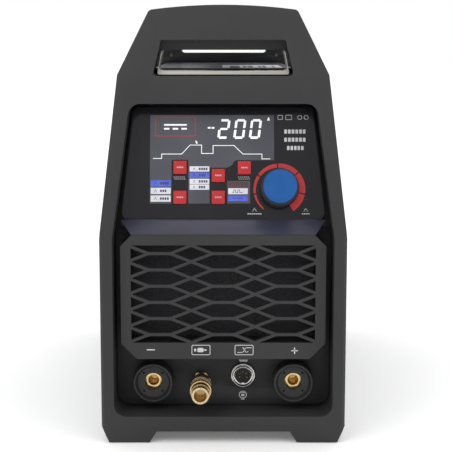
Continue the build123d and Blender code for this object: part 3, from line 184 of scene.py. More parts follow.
# ---- Folded steel cover and base tray ----
# One sheet folded over the sides and top, powder coated blue-black with a faint orange-peel gloss.
# The tray below is bare zinc-plated sheet with its spangle showing.
def painted_metal(name, first, second, roughness, coat):
    """Powder coat: slow tone drift, orange-peel bump and a clear gloss skin."""
    material, tree, shader = new_material(name)
    slow = object_noise(tree, 9.0)
    peel = object_noise(tree, 420.0, detail=1.0)
    tree.links.new(two_tones(tree, slow, first, second), shader.inputs["Base Color"])
    tree.links.new(spread(tree, peel, roughness - 0.04, roughness + 0.05), shader.inputs["Roughness"])
    shader.inputs["Coat Weight"].default_value = coat
    shader.inputs["Coat Roughness"].default_value = 0.12
    bump(tree, shader, peel, 0.25, 0.00003)
    return material


def metal(name, first, second, roughness, grain=300.0, stretch=(1, 1, 1)):
    """Bare metal: toned, brushed along the axes that stretch leaves long."""
    material, tree, shader = new_material(name)
    place = add_node(tree, "ShaderNodeTexCoord")
    mapping = add_node(tree, "ShaderNodeMapping", Scale=stretch)
    noise = add_node(tree, "ShaderNodeTexNoise", Scale=grain, Detail=3.0)
    tree.links.new(place.outputs["Object"], mapping.inputs["Vector"])
    tree.links.new(mapping.outputs["Vector"], noise.inputs["Vector"])
    tree.links.new(two_tones(tree, noise.outputs["Fac"], first, second), shader.inputs["Base Color"])
    tree.links.new(spread(tree, noise.outputs["Fac"], roughness - 0.06, roughness + 0.08),
                   shader.inputs["Roughness"])
    shader.inputs["Metallic"].default_value = 1.0
    bump(tree, shader, noise.outputs["Fac"], 0.4, 0.00002)
    return material


powder_coat = painted_metal("painted_steel", (0.009, 0.012, 0.027), (0.012, 0.016, 0.034), 0.42, 0.2)
give(powder_coat, "case_cover")
zinc = metal("zinc_steel", (0.44, 0.45, 0.46), (0.60, 0.61, 0.62), 0.38, 60.0)
give(zinc, "base_tray", "board_supports")


# ---- Printed label on the cover's top, behind the front arch ----
# A white paper label with plain dark blocks. Blocks stand in for any lettering.
def flat_rectangle(width, height):
    """A flat rectangle in millimetres on its own sheet, ready for edit mode."""
    deselect_all()
    bpy.ops.mesh.primitive_plane_add(size=1.0)
    piece = bpy.context.object
    piece.scale = (width, height, 1.0)
    bpy.ops.object.transform_apply(scale=True)
    return piece


def thicken(thickness):
    """Gives the flat patch in hand its thickness, its faces pointing outwards."""
    bpy.ops.object.mode_set(mode="EDIT")
    bpy.ops.mesh.select_all(action="SELECT")
    bpy.ops.mesh.extrude_region_move(TRANSFORM_OT_translate={"value": (0, 0, thickness)})
    bpy.ops.mesh.select_all(action="SELECT")
    bpy.ops.mesh.normals_make_consistent(inside=False)
    bpy.ops.object.mode_set(mode="OBJECT")


def plate(x, y, width, height, corner=0.0, thickness=0.06, turn=0.0):
    """A thin printed patch in millimetres, centred on x, y of its own sheet."""
    piece = flat_rectangle(width, height)
    if corner > 0:
        bpy.ops.object.mode_set(mode="EDIT")
        bpy.ops.mesh.select_all(action="SELECT")
        bpy.ops.mesh.bevel(offset=corner, segments=4, affect="VERTICES")
        bpy.ops.object.mode_set(mode="OBJECT")
    thicken(thickness)
    piece.data.transform(Matrix.Translation((x, y, 0)) @ Matrix.Rotation(math.radians(turn), 4, "Z"))
    return piece


def joined(name, parts):
    """Makes one piece of several."""
    deselect_all()
    for part in parts:
        part.select_set(True)
    bpy.context.view_layer.objects.active = parts[0]
    if len(parts) > 1:
        bpy.ops.object.join()
    piece = bpy.context.object
    piece.name = name
    piece.data.name = name
    return piece


def sheet_place(origin, along, up, lift):
    """Where a sheet drawn in millimetres lies: its origin, directions and height off the face."""
    along, up = Vector(along).normalized(), Vector(up).normalized()
    out = along.cross(up)
    turn = Matrix((along, up, out)).transposed().to_4x4()
    return Matrix.Translation(Vector(origin) + out * lift) @ turn @ Matrix.Scale(0.001, 4)


def laid(name, parts, place, material, body="root"):
    """Lays joined patches on a face and gives them their ink."""
    piece = joined(name, parts)
    piece.data.transform(place)
    piece.data.materials.clear()
    piece.data.materials.append(material)
    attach(piece, body)


def ink(name, first, second, roughness=0.4, glow=0.0):
    """Printing ink, or a lit display symbol where glow is given."""
    material, tree, shader = new_material(name)
    tone = two_tones(tree, object_noise(tree, 120.0), first, second)
    tree.links.new(tone, shader.inputs["Base Color"])
    tree.links.new(spread(tree, object_noise(tree, 700.0), roughness - 0.04, roughness + 0.04),
                   shader.inputs["Roughness"])
    if glow:
        tree.links.new(tone, shader.inputs["Emission Color"])
        shader.inputs["Emission Strength"].default_value = glow
    return material


white_ink = ink("white_ink", (0.52, 0.52, 0.52), (0.60, 0.60, 0.60))
dark_ink = ink("dark_ink", (0.010, 0.010, 0.012), (0.016, 0.016, 0.018))
paper = ink("label_paper", (0.50, 0.50, 0.50), (0.58, 0.58, 0.57), 0.6)
front_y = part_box("front_frame")[0].y
cover_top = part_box("case_cover")[1].z
label_x, label_behind_front = 0.026, 0.132
label_width, label_length, label_thickness = 54, 112, 0.06
label_place = sheet_place((label_x, front_y + label_behind_front, cover_top), (1, 0, 0), (0, 1, 0), 0.00002)
laid("cover_label", [plate(0, 0, label_width, label_length, 1.5, label_thickness)], label_place, paper)
blocks = [(-15.5, 9), (-6.5, 3), (-1.5, 5), (7.5, 2), (11.5, 3), (20, 1.5)]
first_row, row_step, block_length = 15, 26, 22
lettering = [plate(x, first_row - row_step * row, width, block_length, 0.3)
             for x, width in blocks for row in range(4)]
laid("cover_label_blocks", lettering, label_place @ Matrix.Translation((0, 0, label_thickness)), dark_ink)


# ---- Screws of the case ----
# Zinc-plated steel with rounded heads. The cover's screws, driven in from both sides, show their
# pressed cross recess.
def islands(node):
    """The separate solids of a node, each as its lowest and highest corner."""
    mesh = bmesh.new()
    mesh.from_mesh(nodes[node].data)
    bmesh.ops.remove_doubles(mesh, verts=mesh.verts, dist=0.000005)
    seen, boxes = set(), []
    for start in mesh.verts:
        if start in seen:
            continue
        group, queue = [], [start]
        seen.add(start)
        while queue:
            vertex = queue.pop()
            group.append(vertex.co.copy())
            for edge in vertex.link_edges:
                other = edge.other_vert(vertex)
                if other not in seen:
                    seen.add(other)
                    queue.append(other)
        low = Vector([min(co[axis] for co in group) for axis in range(3)])
        high = Vector([max(co[axis] for co in group) for axis in range(3)])
        boxes.append((low, high))
    mesh.free()
    return boxes


screw_steel = metal("screw_steel", (0.34, 0.34, 0.35), (0.50, 0.50, 0.51), 0.32, 900.0)
recess_length, recess_depth = 0.0042, 0.0009
recess_width = recess_length * 0.22
crossed = rounded_copy("cover_screws", "cover_screws_crossed", 0.0003)
cutters = []
for low, high in islands("cover_screws"):
    head = (low + high) / 2
    head.x = high.x if head.x > 0 else low.x
    for along_y, along_z in ((recess_length, recess_width), (recess_width, recess_length)):
        deselect_all()
        bpy.ops.mesh.primitive_cube_add(size=1.0)
        bar = bpy.context.object
        bar.scale = (2 * recess_depth, along_y, along_z)
        bpy.ops.object.transform_apply(scale=True)
        bar.data.transform(Matrix.Translation(head))
        cutters.append(bar)
cutter = joined("cross_recess", cutters)
make_active(crossed)
cut = crossed.modifiers.new("cross recess", "BOOLEAN")
cut.operation = "DIFFERENCE"
cut.solver = "EXACT"
cut.use_self = True
cut.object = cutter
bpy.ops.object.modifier_apply(modifier=cut.name)
bpy.data.objects.remove(cutter)
finished(crossed, screw_steel)
give(screw_steel, "base_screws", "handle_screws", "arch_screws", "board_screws", "fan_screws",
     "earth_stud", "encoder_shaft", "gas_valve_plunger")


# ---- Carrying grip, its soft pad and the liner of the hand window ----
# The grip is glass-filled nylon screwed between the two arches. Its pad is ribbed rubber.
# The liner is a folded strip of bare bright steel around the front arch's window.
def toned_material(name, tones, tone_scale, roughness, roughness_scale):
    """A material whose colour drifts between two tones and whose gloss is slightly uneven."""
    material, tree, shader = new_material(name)
    tree.links.new(two_tones(tree, object_noise(tree, tone_scale), *tones), shader.inputs["Base Color"])
    tree.links.new(spread(tree, object_noise(tree, roughness_scale), *roughness), shader.inputs["Roughness"])
    return material, tree, shader


nylon = moulded_plastic("black_nylon", (0.022, 0.022, 0.024), (0.028, 0.028, 0.030), 0.42, 1300.0, 0.00004)
finished(rounded_copy("handle_grip", "handle_grip_moulding", 0.0012, segments=3), nylon)

ribbed, tree, shader = toned_material("ribbed_rubber", ((0.018, 0.018, 0.019), (0.026, 0.026, 0.027)), 40.0,
                                      (0.62, 0.8), 500.0)
place = add_node(tree, "ShaderNodeTexCoord")
ribs = add_node(tree, "ShaderNodeTexWave", Scale=95.0)
ribs.bands_direction = "Y"
tree.links.new(place.outputs["Object"], ribs.inputs["Vector"])
bump(tree, shader, ribs.outputs["Fac"], 0.9, 0.0006)
give(ribbed, "grip_pad")
liner_steel = metal("liner_steel", (0.34, 0.33, 0.30), (0.46, 0.45, 0.41), 0.4, 120.0, (0.1, 6, 6))
give(liner_steel, "front_handle_liner")


# ---- Control fascia: the moulding the panel sits on ----
# Satin black moulding held in the front frame by its rim. The ledge under the overlay is high-gloss and
# mirrors the lit labels; its base colour is also lifted and tinted blue, a painted reflection of those
# labels.
fascia_plastic = moulded_plastic("fascia_moulding", (0.016, 0.016, 0.018), (0.021, 0.021, 0.023),
                                 0.42, 1400.0, 0.00003, 0.3)
# Ledge base colour bluer and lighter than the fascia: a painted reflection of the lit labels, added to the
# coat's real reflection.
painted_reflection, tree, shader = toned_material("painted_reflection_ledge", ((0.030, 0.031, 0.058), (0.038, 0.039, 0.071)),
                                        14.0, (0.28, 0.34), 300.0)
shader.inputs["Coat Weight"].default_value = 1.0
shader.inputs["Coat Roughness"].default_value = 0.3
shader.inputs["Coat IOR"].default_value = 1.9
fascia = rounded_copy("control_fascia", "control_fascia_moulding", 0.0006)
finished(fascia, fascia_plastic)
fascia.data.materials.append(painted_reflection)
ledge_low, ledge_high, ledge_slope = 0.1805, 0.1915, 0.3
for face in fascia.data.polygons:
    leans_out_and_up = face.normal.y < -ledge_slope and face.normal.z > ledge_slope
    if ledge_low < face.center.z < ledge_high and leans_out_and_up:
        face.material_index = 1


# ---- Control board, switches and display behind the fascia ----
# Green solder mask with paler tracks. The display module is a black framed glass.
board, tree, shader = new_material("board_green")
place = add_node(tree, "ShaderNodeTexCoord")
tracks = add_node(tree, "ShaderNodeTexVoronoi", Scale=160.0, Randomness=0.4)
tracks.distance = "MANHATTAN"
tree.links.new(place.outputs["Object"], tracks.inputs["Vector"])
tone = two_tones(tree, tracks.outputs["Distance"], (0.004, 0.045, 0.016), (0.012, 0.11, 0.045), 0.25, 0.35)
tree.links.new(tone, shader.inputs["Base Color"])
tree.links.new(spread(tree, object_noise(tree, 80.0), 0.22, 0.36), shader.inputs["Roughness"])
give(board, "control_board", "power_board")
give(nylon, "display_module", "encoder_body", "encoder_rotor")


# ---- Panel overlay and its display window ----
# A printed polycarbonate sheet, gloss black. The window is tinted grey and lit from behind.
joints = frame["record"]["behaviour"]["joints"]
knob_turn = next(joint for joint in joints if joint["name"] == "knob_turn")
knob_spot = Vector(knob_turn["pos_m"])
panel_out = Vector(knob_turn["axis"]).normalized()
panel_up = Vector((0, panel_out.z, -panel_out.y))
# Heights in metres: the gloss face over the joint's point, then each layer of print over that face.
overlay_top = 0.0008
on_face, on_window, on_print, on_labels = 0.00001, 0.00002, 0.00007, 0.00009
# Where the knob's axis meets the panel, in millimetres from the middle of the panel's lower edge.
knob_x, knob_y = 48.6, 26.1


def panel_place(x=0.0, y=0.0, lift=on_face):
    """Where a sheet centred on panel point x, y lies, off the overlay's gloss face."""
    spot = knob_spot + Vector((1, 0, 0)) * (x - knob_x) / 1000 + panel_up * (y - knob_y) / 1000
    return sheet_place(spot, (1, 0, 0), panel_up, overlay_top + lift)


gloss_black, tree, shader = toned_material("gloss_overlay", ((0.008, 0.008, 0.011), (0.011, 0.011, 0.014)),
                                           20.0, (0.14, 0.2), 60.0)
bump(tree, shader, object_noise(tree, 500.0), 0.15, 0.00002)
shader.inputs["Specular IOR Level"].default_value = 0.3
give(gloss_black, "panel_overlay")

display_glass, tree, shader = new_material("display_grey")
tone = two_tones(tree, object_noise(tree, 22.0, detail=1.0), (0.044, 0.046, 0.058), (0.060, 0.061, 0.074))
tree.links.new(tone, shader.inputs["Base Color"])
tree.links.new(tone, shader.inputs["Emission Color"])
shader.inputs["Emission Strength"].default_value = 0.25
tree.links.new(spread(tree, object_noise(tree, 90.0), 0.2, 0.26), shader.inputs["Roughness"])
give(display_glass, "display_lens")


# ---- Black print around the buttons ----
# The overlay's black ink runs into the window as islands, so that only the label columns are lit.
def patch(outline, thickness=0.05):
    """A thin patch with a free outline, its corners given in millimetres."""
    deselect_all()
    bpy.ops.mesh.primitive_circle_add(vertices=len(outline), radius=1.0, fill_type="NGON")
    piece = bpy.context.object
    for vertex, (x, y) in zip(piece.data.vertices, outline):
        vertex.co = (x, y, 0.0)
    thicken(thickness)
    return piece


print_thickness, button_hole = 0.05, 12.5
button_spots = {"mode_button": (-37.5, 45.1), "stop_button": (-37.5, 18.9), "trigger_button": (-4.3, 38.0),
                "pulse_button": (-4.3, 18.9), "save_button": (18.3, 44.8)}


def framed(left, right, low, high, *buttons):
    """Strips that fill a rectangle around the named buttons' square holes, row by row."""
    half = button_hole / 2
    strips, level = [], low
    for x, y in sorted((button_spots[name] for name in buttons), key=lambda spot: spot[1]):
        strips.append((left, right, level, y - half))
        strips.append((left, x - half, y - half, y + half))
        strips.append((x + half, right, y - half, y + half))
        level = y + half
    strips.append((left, right, level, high))
    return [plate((x0 + x1) / 2, (y0 + y1) / 2, x1 - x0, y1 - y0, thickness=print_thickness)
            for x0, x1, y0, y1 in strips if y1 > y0]


black_print = framed(-44.8, -30.3, 13.6, 51.8, "mode_button", "stop_button")
black_print += framed(-11.8, 3.4, 13.6, 44.9, "trigger_button", "pulse_button")
black_print += framed(11.4, 24.5, 33.4, 51.5, "save_button")
black_print.append(patch([(3.4, 33.4), (11.4, 33.4), (11.4, 51.4), (10.2, 50.9), (8.8, 49.4), (7.4, 47.2),
                          (5.6, 45.9), (3.4, 45.1)], print_thickness))
black_print.append(plate(23.9, 23.5, 1.2, 19.8, thickness=print_thickness))
laid("panel_black_print", black_print, panel_place(), gloss_black)
window_edge = plate(34.4, 51.35, 19.6, 0.25, thickness=print_thickness)
laid("panel_window_edge", [window_edge], panel_place(lift=on_print), dark_ink)


# ---- Display symbols, lit white ----
# Seven-bar figures, the welding current curve with its pointer, and small marks for units.
def bar_figure(x, y, bars):
    """One figure of a bar display. bars names the lit ones, a to f clockwise from the top, g between."""
    width, height, thick, lean, corner = 9.6, 17.4, 2.1, 0.13, 0.55
    leaning = Matrix(((1, lean, 0, 0), (0, 1, 0, 0), (0, 0, 1, 0), (0, 0, 0, 1)))
    arm, reach = width - thick - 1.0, height / 2 - thick / 2 - 1.0
    side, level, end = (width - thick) / 2, height / 4 - 0.25, (height - thick) / 2
    spots = {"a": (0, end, arm, thick), "d": (0, -end, arm, thick), "g": (0, 0, arm, thick * 0.85),
             "b": (side, level, thick, reach), "c": (side, -level, thick, reach),
             "e": (-side, -level, thick, reach), "f": (-side, level, thick, reach)}
    parts = []
    for name in bars:
        across, rise, wide, tall = spots[name]
        part = plate(across, rise, wide, tall, corner)
        part.data.transform(Matrix.Translation((x, y, 0)) @ leaning)
        parts.append(part)
    return parts


def line(points, width):
    """A drawn line of straight strokes, each lapping the next by half its width."""
    strokes = []
    for (x0, y0), (x1, y1) in zip(points, points[1:]):
        length = math.hypot(x1 - x0, y1 - y0) + width
        strokes.append(plate((x0 + x1) / 2, (y0 + y1) / 2, length, width,
                             turn=math.degrees(math.atan2(y1 - y0, x1 - x0))))
    return strokes


lit_white = ink("lit_white", (0.78, 0.78, 0.80), (0.84, 0.84, 0.86), 0.35, glow=0.35)
figure_y = 79.0
figures = bar_figure(0.6, figure_y, "abged")
figures += bar_figure(14.4, figure_y, "abcdef") + bar_figure(28.0, figure_y, "abcdef")
laid("display_figures", figures, panel_place(lift=on_window), lit_white)
curve = line([(-60.8, 53.0), (-53.4, 53.0), (-53.4, 56.9), (-36.1, 56.9), (-28.8, 64.8), (-18.8, 64.8),
              (-18.8, 57.4), (-8.8, 57.4), (-8.8, 64.4), (9.4, 64.4), (17.1, 56.9), (33.6, 56.9),
              (33.6, 52.6), (40.5, 52.6)], 0.55)
laid("display_curve", curve, panel_place(lift=on_window), lit_white)
unit_mark = patch([(38.2, 86.4), (40.6, 86.4), (39.9, 89.2), (39.0, 89.2)])
curve_pointer = patch([(-24.2, 69.0), (-22.6, 67.8), (-22.4, 65.9), (-23.4, 65.9), (-24.0, 67.4)])
minus_sign = [plate(x, 80.0, 2.6, 1.5, 0.3) for x in (-12.2, -8.9)]
small_marks = [unit_mark, curve_pointer, *minus_sign]
laid("display_marks", small_marks, panel_place(lift=on_window), lit_white)


# ---- Label boxes of the three choice columns ----
# White boxes are unlit choices and blue ones are picked. Bars and small curves stand in for words.
def label_boxes(rows, x, width, height):
    """One column's boxes, a box at each height in rows."""
    return [plate(x, y, width, height, 0.35) for y in rows]


lit_blue = ink("lit_blue", (0.045, 0.075, 0.42), (0.070, 0.11, 0.54), 0.35, glow=0.35)
label_white = ink("label_white", (0.56, 0.57, 0.62), (0.64, 0.65, 0.69), 0.35, glow=0.1)
off_red = ink("unlit_red", (0.055, 0.030, 0.036), (0.085, 0.036, 0.042), 0.35)
left_column, middle_column, right_column = -54.1, -20.6, 12.8
laid("labels_white", label_boxes((24.6, 17.9), left_column, 17.4, 5.5)
     + label_boxes((43.8, 32.9, 27.9), middle_column, 17.0, 4.6)
     + label_boxes((24.3,), right_column, 17.0, 5.2), panel_place(lift=on_window), label_white)
laid("labels_blue", label_boxes((31.2,), left_column, 17.4, 5.4)
     + label_boxes((38.3,), middle_column, 17.0, 4.7)
     + label_boxes((18.2,), right_column, 17.0, 5.0), panel_place(lift=on_window), lit_blue)
laid("label_unlit", label_boxes((30.2,), right_column, 17.4, 4.6), panel_place(lift=on_window), off_red)
glyphs = []
for x, rows in ((left_column, (31.2, 24.6, 17.9)), (middle_column, (43.8, 38.3, 32.9, 27.9))):
    for count, y in enumerate(rows):
        glyphs += line([(x - 5.6, y - 1.0), (x - 4.6, y + 1.0), (x - 3.6, y - 1.0)], 0.35)
        for step in range(4 - count % 2):
            glyphs.append(plate(x + 0.2 + step * 2.0, y, 1.5, 2.1, 0.2))
glyphs += line([(8.0, 23.2), (9.2, 23.2), (9.2, 25.4), (10.8, 25.4), (10.8, 23.2), (12.6, 23.2),
                (12.6, 25.4), (14.2, 25.4), (14.2, 23.2), (16.6, 23.2)], 0.45)
glyphs += line([(8.4, 18.2), (17.0, 18.2)], 0.5)
label_ink = ink("display_dark_ink", (0.035, 0.035, 0.09), (0.05, 0.05, 0.12))
laid("label_glyphs", glyphs, panel_place(lift=on_labels), label_ink)


# ---- White and red print of the overlay ----
# A red rounded frame round a plain direct-current sign, the red current scale growing clockwise,
# and short bars where lettering would be.
def outline_box(x, y, width, height, corner, stroke):
    """A rounded outline: a plate inset all round, its middle removed."""
    piece = flat_rectangle(width, height)
    bpy.ops.object.mode_set(mode="EDIT")
    bpy.ops.mesh.select_all(action="SELECT")
    bpy.ops.mesh.bevel(offset=corner, segments=5, affect="VERTICES")
    bpy.ops.mesh.select_all(action="SELECT")
    bpy.ops.mesh.inset(thickness=stroke, depth=0)
    bpy.ops.mesh.delete(type="FACE")
    bpy.ops.object.mode_set(mode="OBJECT")
    thicken(0.06)
    piece.data.transform(Matrix.Translation((x, y, 0)))
    return piece


def scale_segment(start, end, begin_width, end_width):
    """One part of the current scale: an arc from start to end degrees, widening inwards."""
    outer_radius = 22.5
    deselect_all()
    bpy.ops.mesh.primitive_grid_add(x_subdivisions=14, y_subdivisions=1, size=1.0)
    piece = bpy.context.object
    for vertex in piece.data.vertices:
        along, across = vertex.co.x + 0.5, vertex.co.y + 0.5
        angle = math.radians(start + (end - start) * along)
        radius = outer_radius - (begin_width + (end_width - begin_width) * along) * across
        vertex.co = (radius * math.cos(angle), radius * math.sin(angle), 0.0)
    thicken(0.06)
    return piece


red_ink = ink("red_ink", (0.48, 0.015, 0.019), (0.54, 0.020, 0.024), 0.4)
ends = [231.5, 191.5, 146.5, 94.0, 42.0, -11.0, -58.0]
half_gap, narrow, growth = 1.6, 1.2, 5.3
scale = []
for start, end in zip(ends, ends[1:]):
    begin = start - (half_gap if start < ends[0] else 0.0)
    stop = end + (half_gap if end > ends[-1] else 0.0)
    widths = [narrow + growth * (ends[0] - angle) / (ends[0] - ends[-1]) for angle in (begin, stop)]
    scale.append(scale_segment(begin, stop, *widths))
laid("current_scale", scale, panel_place(knob_x, knob_y), red_ink)

sign_x = -41.6
laid("red_frame", [outline_box(sign_x, 81.0, 35.0, 17.0, 1.8, 0.55)], panel_place(lift=on_window), red_ink)
sign = [plate(sign_x, 82.6, 20.0, 1.5, 0.3)]
sign += [plate(sign_x + x, 79.2, 4.8, 1.5, 0.3) for x in (-7.6, 0, 7.6)]
laid("current_sign", sign, panel_place(lift=on_window), lit_white)

icon_y, icon_stroke = 89.2, 0.45
white_print = [outline_box(x, icon_y, width, height, corner, icon_stroke)
               for x, width, height, corner in ((49.6, 4.4, 4.0, 0.6), (57.0, 5.6, 4.4, 0.6),
                                                (66.6, 4.0, 4.0, 1.9), (72.2, 4.0, 4.0, 1.9))]
for y, first, last, count in ((76.7, 52.6, 72.0, 6), (69.5, 52.6, 72.0, 6), (62.2, 55.0, 70.2, 5)):
    step = (last - first) / count
    for spot in range(count):
        white_print.append(plate(first + (spot + 0.5) * step, y, step - 0.9, 3.6, 0.35))
left_sign_x, right_sign_x = 27.0, 71.3
for x in (left_sign_x, right_sign_x):
    white_print += line([(x - 1.6, 6.9), (x, 9.4), (x + 1.6, 6.9)], 0.4)
white_print += [plate(left_sign_x + dx, 4.6, 1.4, 0.9, 0.15) for dx in (-5.4, -3.6, -1.8, 0, 1.8, 3.6, 5.4)]
white_print += [plate(right_sign_x + dx, 4.6, 1.2, 0.9, 0.15) for dx in (-2.7, -0.9, 0.9, 2.7)]
laid("overlay_white_print", white_print, panel_place(), white_ink)

caption_y, bar_step = 35.8, 1.7
captions = []
for name in ("mode_button", "save_button"):
    x = button_spots[name][0]
    for row, reach in ((0, 11.4), (bar_step, 10.2)):
        captions += [plate(x - reach / 2 + 0.8 + bar * bar_step, caption_y + 0.9 - row, 1.2, 0.8, 0.15)
                     for bar in range(int(reach / bar_step))]
caption_ink = ink("caption_ink", (0.24, 0.24, 0.25), (0.30, 0.30, 0.31))
laid("button_captions", captions, panel_place(lift=on_print), caption_ink)


# ---- Push buttons ----
# Red caps moulded with rounded edges, each free to move on its own. The pale pink blocks at each cap's
# centre are a painted highlight where the cap catches the light.
button_red, tree, shader = toned_material("button_red", ((0.40, 0.010, 0.013), (0.46, 0.013, 0.017)), 60.0,
                                          (0.3, 0.4), 900.0)
bump(tree, shader, object_noise(tree, 1200.0), 0.2, 0.00002)
# Pale pink for the painted highlight on the red caps.
painted_highlight_ink = ink("button_painted_highlight_ink", (0.60, 0.30, 0.32), (0.68, 0.36, 0.38))
button_proud = 0.00121
for name, (x, y) in button_spots.items():
    finished(rounded_copy(name, name + "_cap", 0.0005, segments=3, body=name), button_red)
    # Small pale blocks at the cap's centre: a painted highlight, not print.
    marks = [plate(dx * 1.5, 0, 1.1, 1.3, 0.2) for dx in (-1.5, -0.5, 0.5, 1.5)]
    laid(name + "_mark", marks, panel_place(x, y, button_proud), painted_highlight_ink, body=name)


# ---- Rotary knob ----
# Black nylon skirt with 36 shallow grip ribs round it, and a flat blue cap pressed into its face.
knob_blue, tree, shader = toned_material("knob_blue", ((0.009, 0.080, 0.275), (0.012, 0.090, 0.305)), 80.0,
                                         (0.42, 0.52), 1000.0)
shader.inputs["Specular IOR Level"].default_value = 0.2
bump(tree, shader, object_noise(tree, 1500.0), 0.3, 0.00003)
finished(rounded_copy("knob_cap", "knob_cap_disc", 0.0002, body="knob"), knob_blue)
give(nylon, "knob_body")
rib_count, rib_circle, rib_length, skirt_clear = 36, 16.35, 10.5, 0.0022
grip_ribs = []
for turn in range(rib_count):
    rib = plate(rib_circle, 0, 0.7, 1.3, 0.2, thickness=rib_length)
    rib.data.transform(Matrix.Rotation(math.radians(turn * 360 / rib_count), 4, "Z"))
    grip_ribs.append(rib)
laid("knob_grip_ribs", grip_ribs, panel_place(knob_x, knob_y, skirt_clear), nylon, body="knob")


# ---- Air grille and the dust filter behind it ----
# Satin moulding with bars round long hexagons, and plain printed signs on its lower rim.
# The filter behind it is open black mesh.
grille_plastic = moulded_plastic("grille_moulding", (0.026, 0.026, 0.0275), (0.030, 0.030, 0.0315),
                                 0.5, 1500.0, 0.00004, 0.3)
give(grille_plastic, "grille_panel")

mesh_foam, tree, shader = new_material("filter_foam")
place = add_node(tree, "ShaderNodeTexCoord")
cells = add_node(tree, "ShaderNodeTexVoronoi", Scale=900.0)
tree.links.new(place.outputs["Object"], cells.inputs["Vector"])
tone = two_tones(tree, cells.outputs["Distance"], (0.010, 0.010, 0.012), (0.019, 0.019, 0.022), 0.2, 0.6)
tree.links.new(tone, shader.inputs["Base Color"])
tree.links.new(spread(tree, cells.outputs["Distance"], 0.75, 0.95), shader.inputs["Roughness"])
bump(tree, shader, cells.outputs["Distance"], 0.8, 0.0004)
give(mesh_foam, "dust_filter")


def front_place(y):
    """Where a sheet lies on an upright face that looks to the front at depth y."""
    return sheet_place((0, y, 0), (1, 0, 0), (0, 0, 1), 0.00002)


grille_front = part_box("grille_panel")[0].y
minus = [plate(-62.5, 80.2, 7.0, 1.0)]
plus = [plate(61.6, 79.4, 5.6, 0.9), plate(61.6, 79.4, 0.9, 5.6)]
boxes = [outline_box(x, 80.0, 16.2, 9.0, 1.4, 0.55) for x in (-19.2, 18.0)]
fitting = [plate(-19.6, 80.0, 5.4, 3.8, 1.2), plate(-15.4, 80.0, 2.0, 1.3, 0.2),
           plate(-24.2, 80.0, 1.6, 2.4, 0.3)]
switch = line([(12.6, 77.8), (16.6, 77.8), (18.2, 79.6), (19.4, 82.0), (24.2, 82.0)], 0.6)
switch += line([(17.0, 82.0), (19.8, 77.8), (21.4, 78.6)], 0.6)
rim_marks = minus + plus + boxes + fitting + switch
laid("rim_marks", rim_marks, front_place(grille_front), white_ink)


# ---- Socket panel and the printed marks on it ----
# Satin black moulding at the back of the recess, which carries the sockets. It has a printed chevron
# over the remote socket and a plain sign below.
panel_plastic = moulded_plastic("socket_moulding", (0.026, 0.026, 0.028), (0.031, 0.031, 0.033),
                                0.55, 1300.0, 0.00004, 0.3)
finished(rounded_copy("socket_panel", "socket_panel_moulding", 0.0004), panel_plastic)
recess_depth_at_sockets, remote_x = 0.037, 17.4
panel_front = front_y + recess_depth_at_sockets
chevron = [patch([(13.8, 64.4), (22.0, 64.4), (19.8, 60.6), (16.0, 60.6)])]
plug_sign = [outline_box(remote_x, 32.4, 7.0, 7.0, 3.4, 0.7), plate(remote_x, 32.0, 2.8, 2.2, 0.4),
             plate(remote_x, 34.2, 3.6, 0.6), plate(remote_x, 28.3, 3.2, 0.8, 0.2)]
laid("remote_marks", chevron + plug_sign, front_place(panel_front), white_ink)


# ---- Welding sockets ----
# Glass-filled nylon collars with a dished face and a turned brass contact screwed in from behind.
collar_plastic = moulded_plastic("collar_nylon", (0.020, 0.020, 0.0215), (0.025, 0.025, 0.0265),
                                 0.45, 1200.0, 0.00004, 0.3)
brass = metal("brass", (0.56, 0.40, 0.17), (0.74, 0.56, 0.27), 0.2, 500.0, (1, 8, 1))
for side in ("negative", "positive"):
    collar = rounded_copy(side + "_socket_collar", side + "_collar_moulding", 0.0004, segments=3)
    finished(collar, collar_plastic)
    contact = rounded_copy(side + "_socket_contact", side + "_contact_turned", 0.0005, segments=3)
    finished(contact, brass)
give(brass, "socket_lock_nuts", "gas_valve_body", "gas_inlet")


# ---- Gas quick coupling ----
# Turned from brass: hexagon, tube and a spring sleeve with grip rings that slides on the tube.
coupling_brass = metal("coupling_brass", (0.48, 0.35, 0.18), (0.74, 0.58, 0.34), 0.24, 700.0, (1, 10, 1))
tube = rounded_copy("gas_coupling_body", "gas_coupling_turned", 0.0005, segments=3)
finished(tube, coupling_brass)
sleeve = rounded_copy("gas_coupling_sleeve", "gas_sleeve_turned", 0.0003, body="gas_sleeve")
finished(sleeve, coupling_brass)


# ---- Remote control socket ----
# Plated brass shell and nut, black insert with five gold-plated contacts.
chrome = metal("chrome", (0.74, 0.74, 0.72), (0.84, 0.84, 0.82), 0.2, 600.0)
finished(rounded_copy("remote_socket_shell", "remote_shell_turned", 0.0003), chrome)
finished(rounded_copy("remote_socket_nut", "remote_nut_turned", 0.0004), chrome)
socket_black = moulded_plastic("insert_black", (0.005, 0.005, 0.006), (0.008, 0.008, 0.009),
                               0.4, 1200.0, 0.00002, 0.2)
give(socket_black, "remote_socket_insert")
give(brass, "remote_socket_contacts")


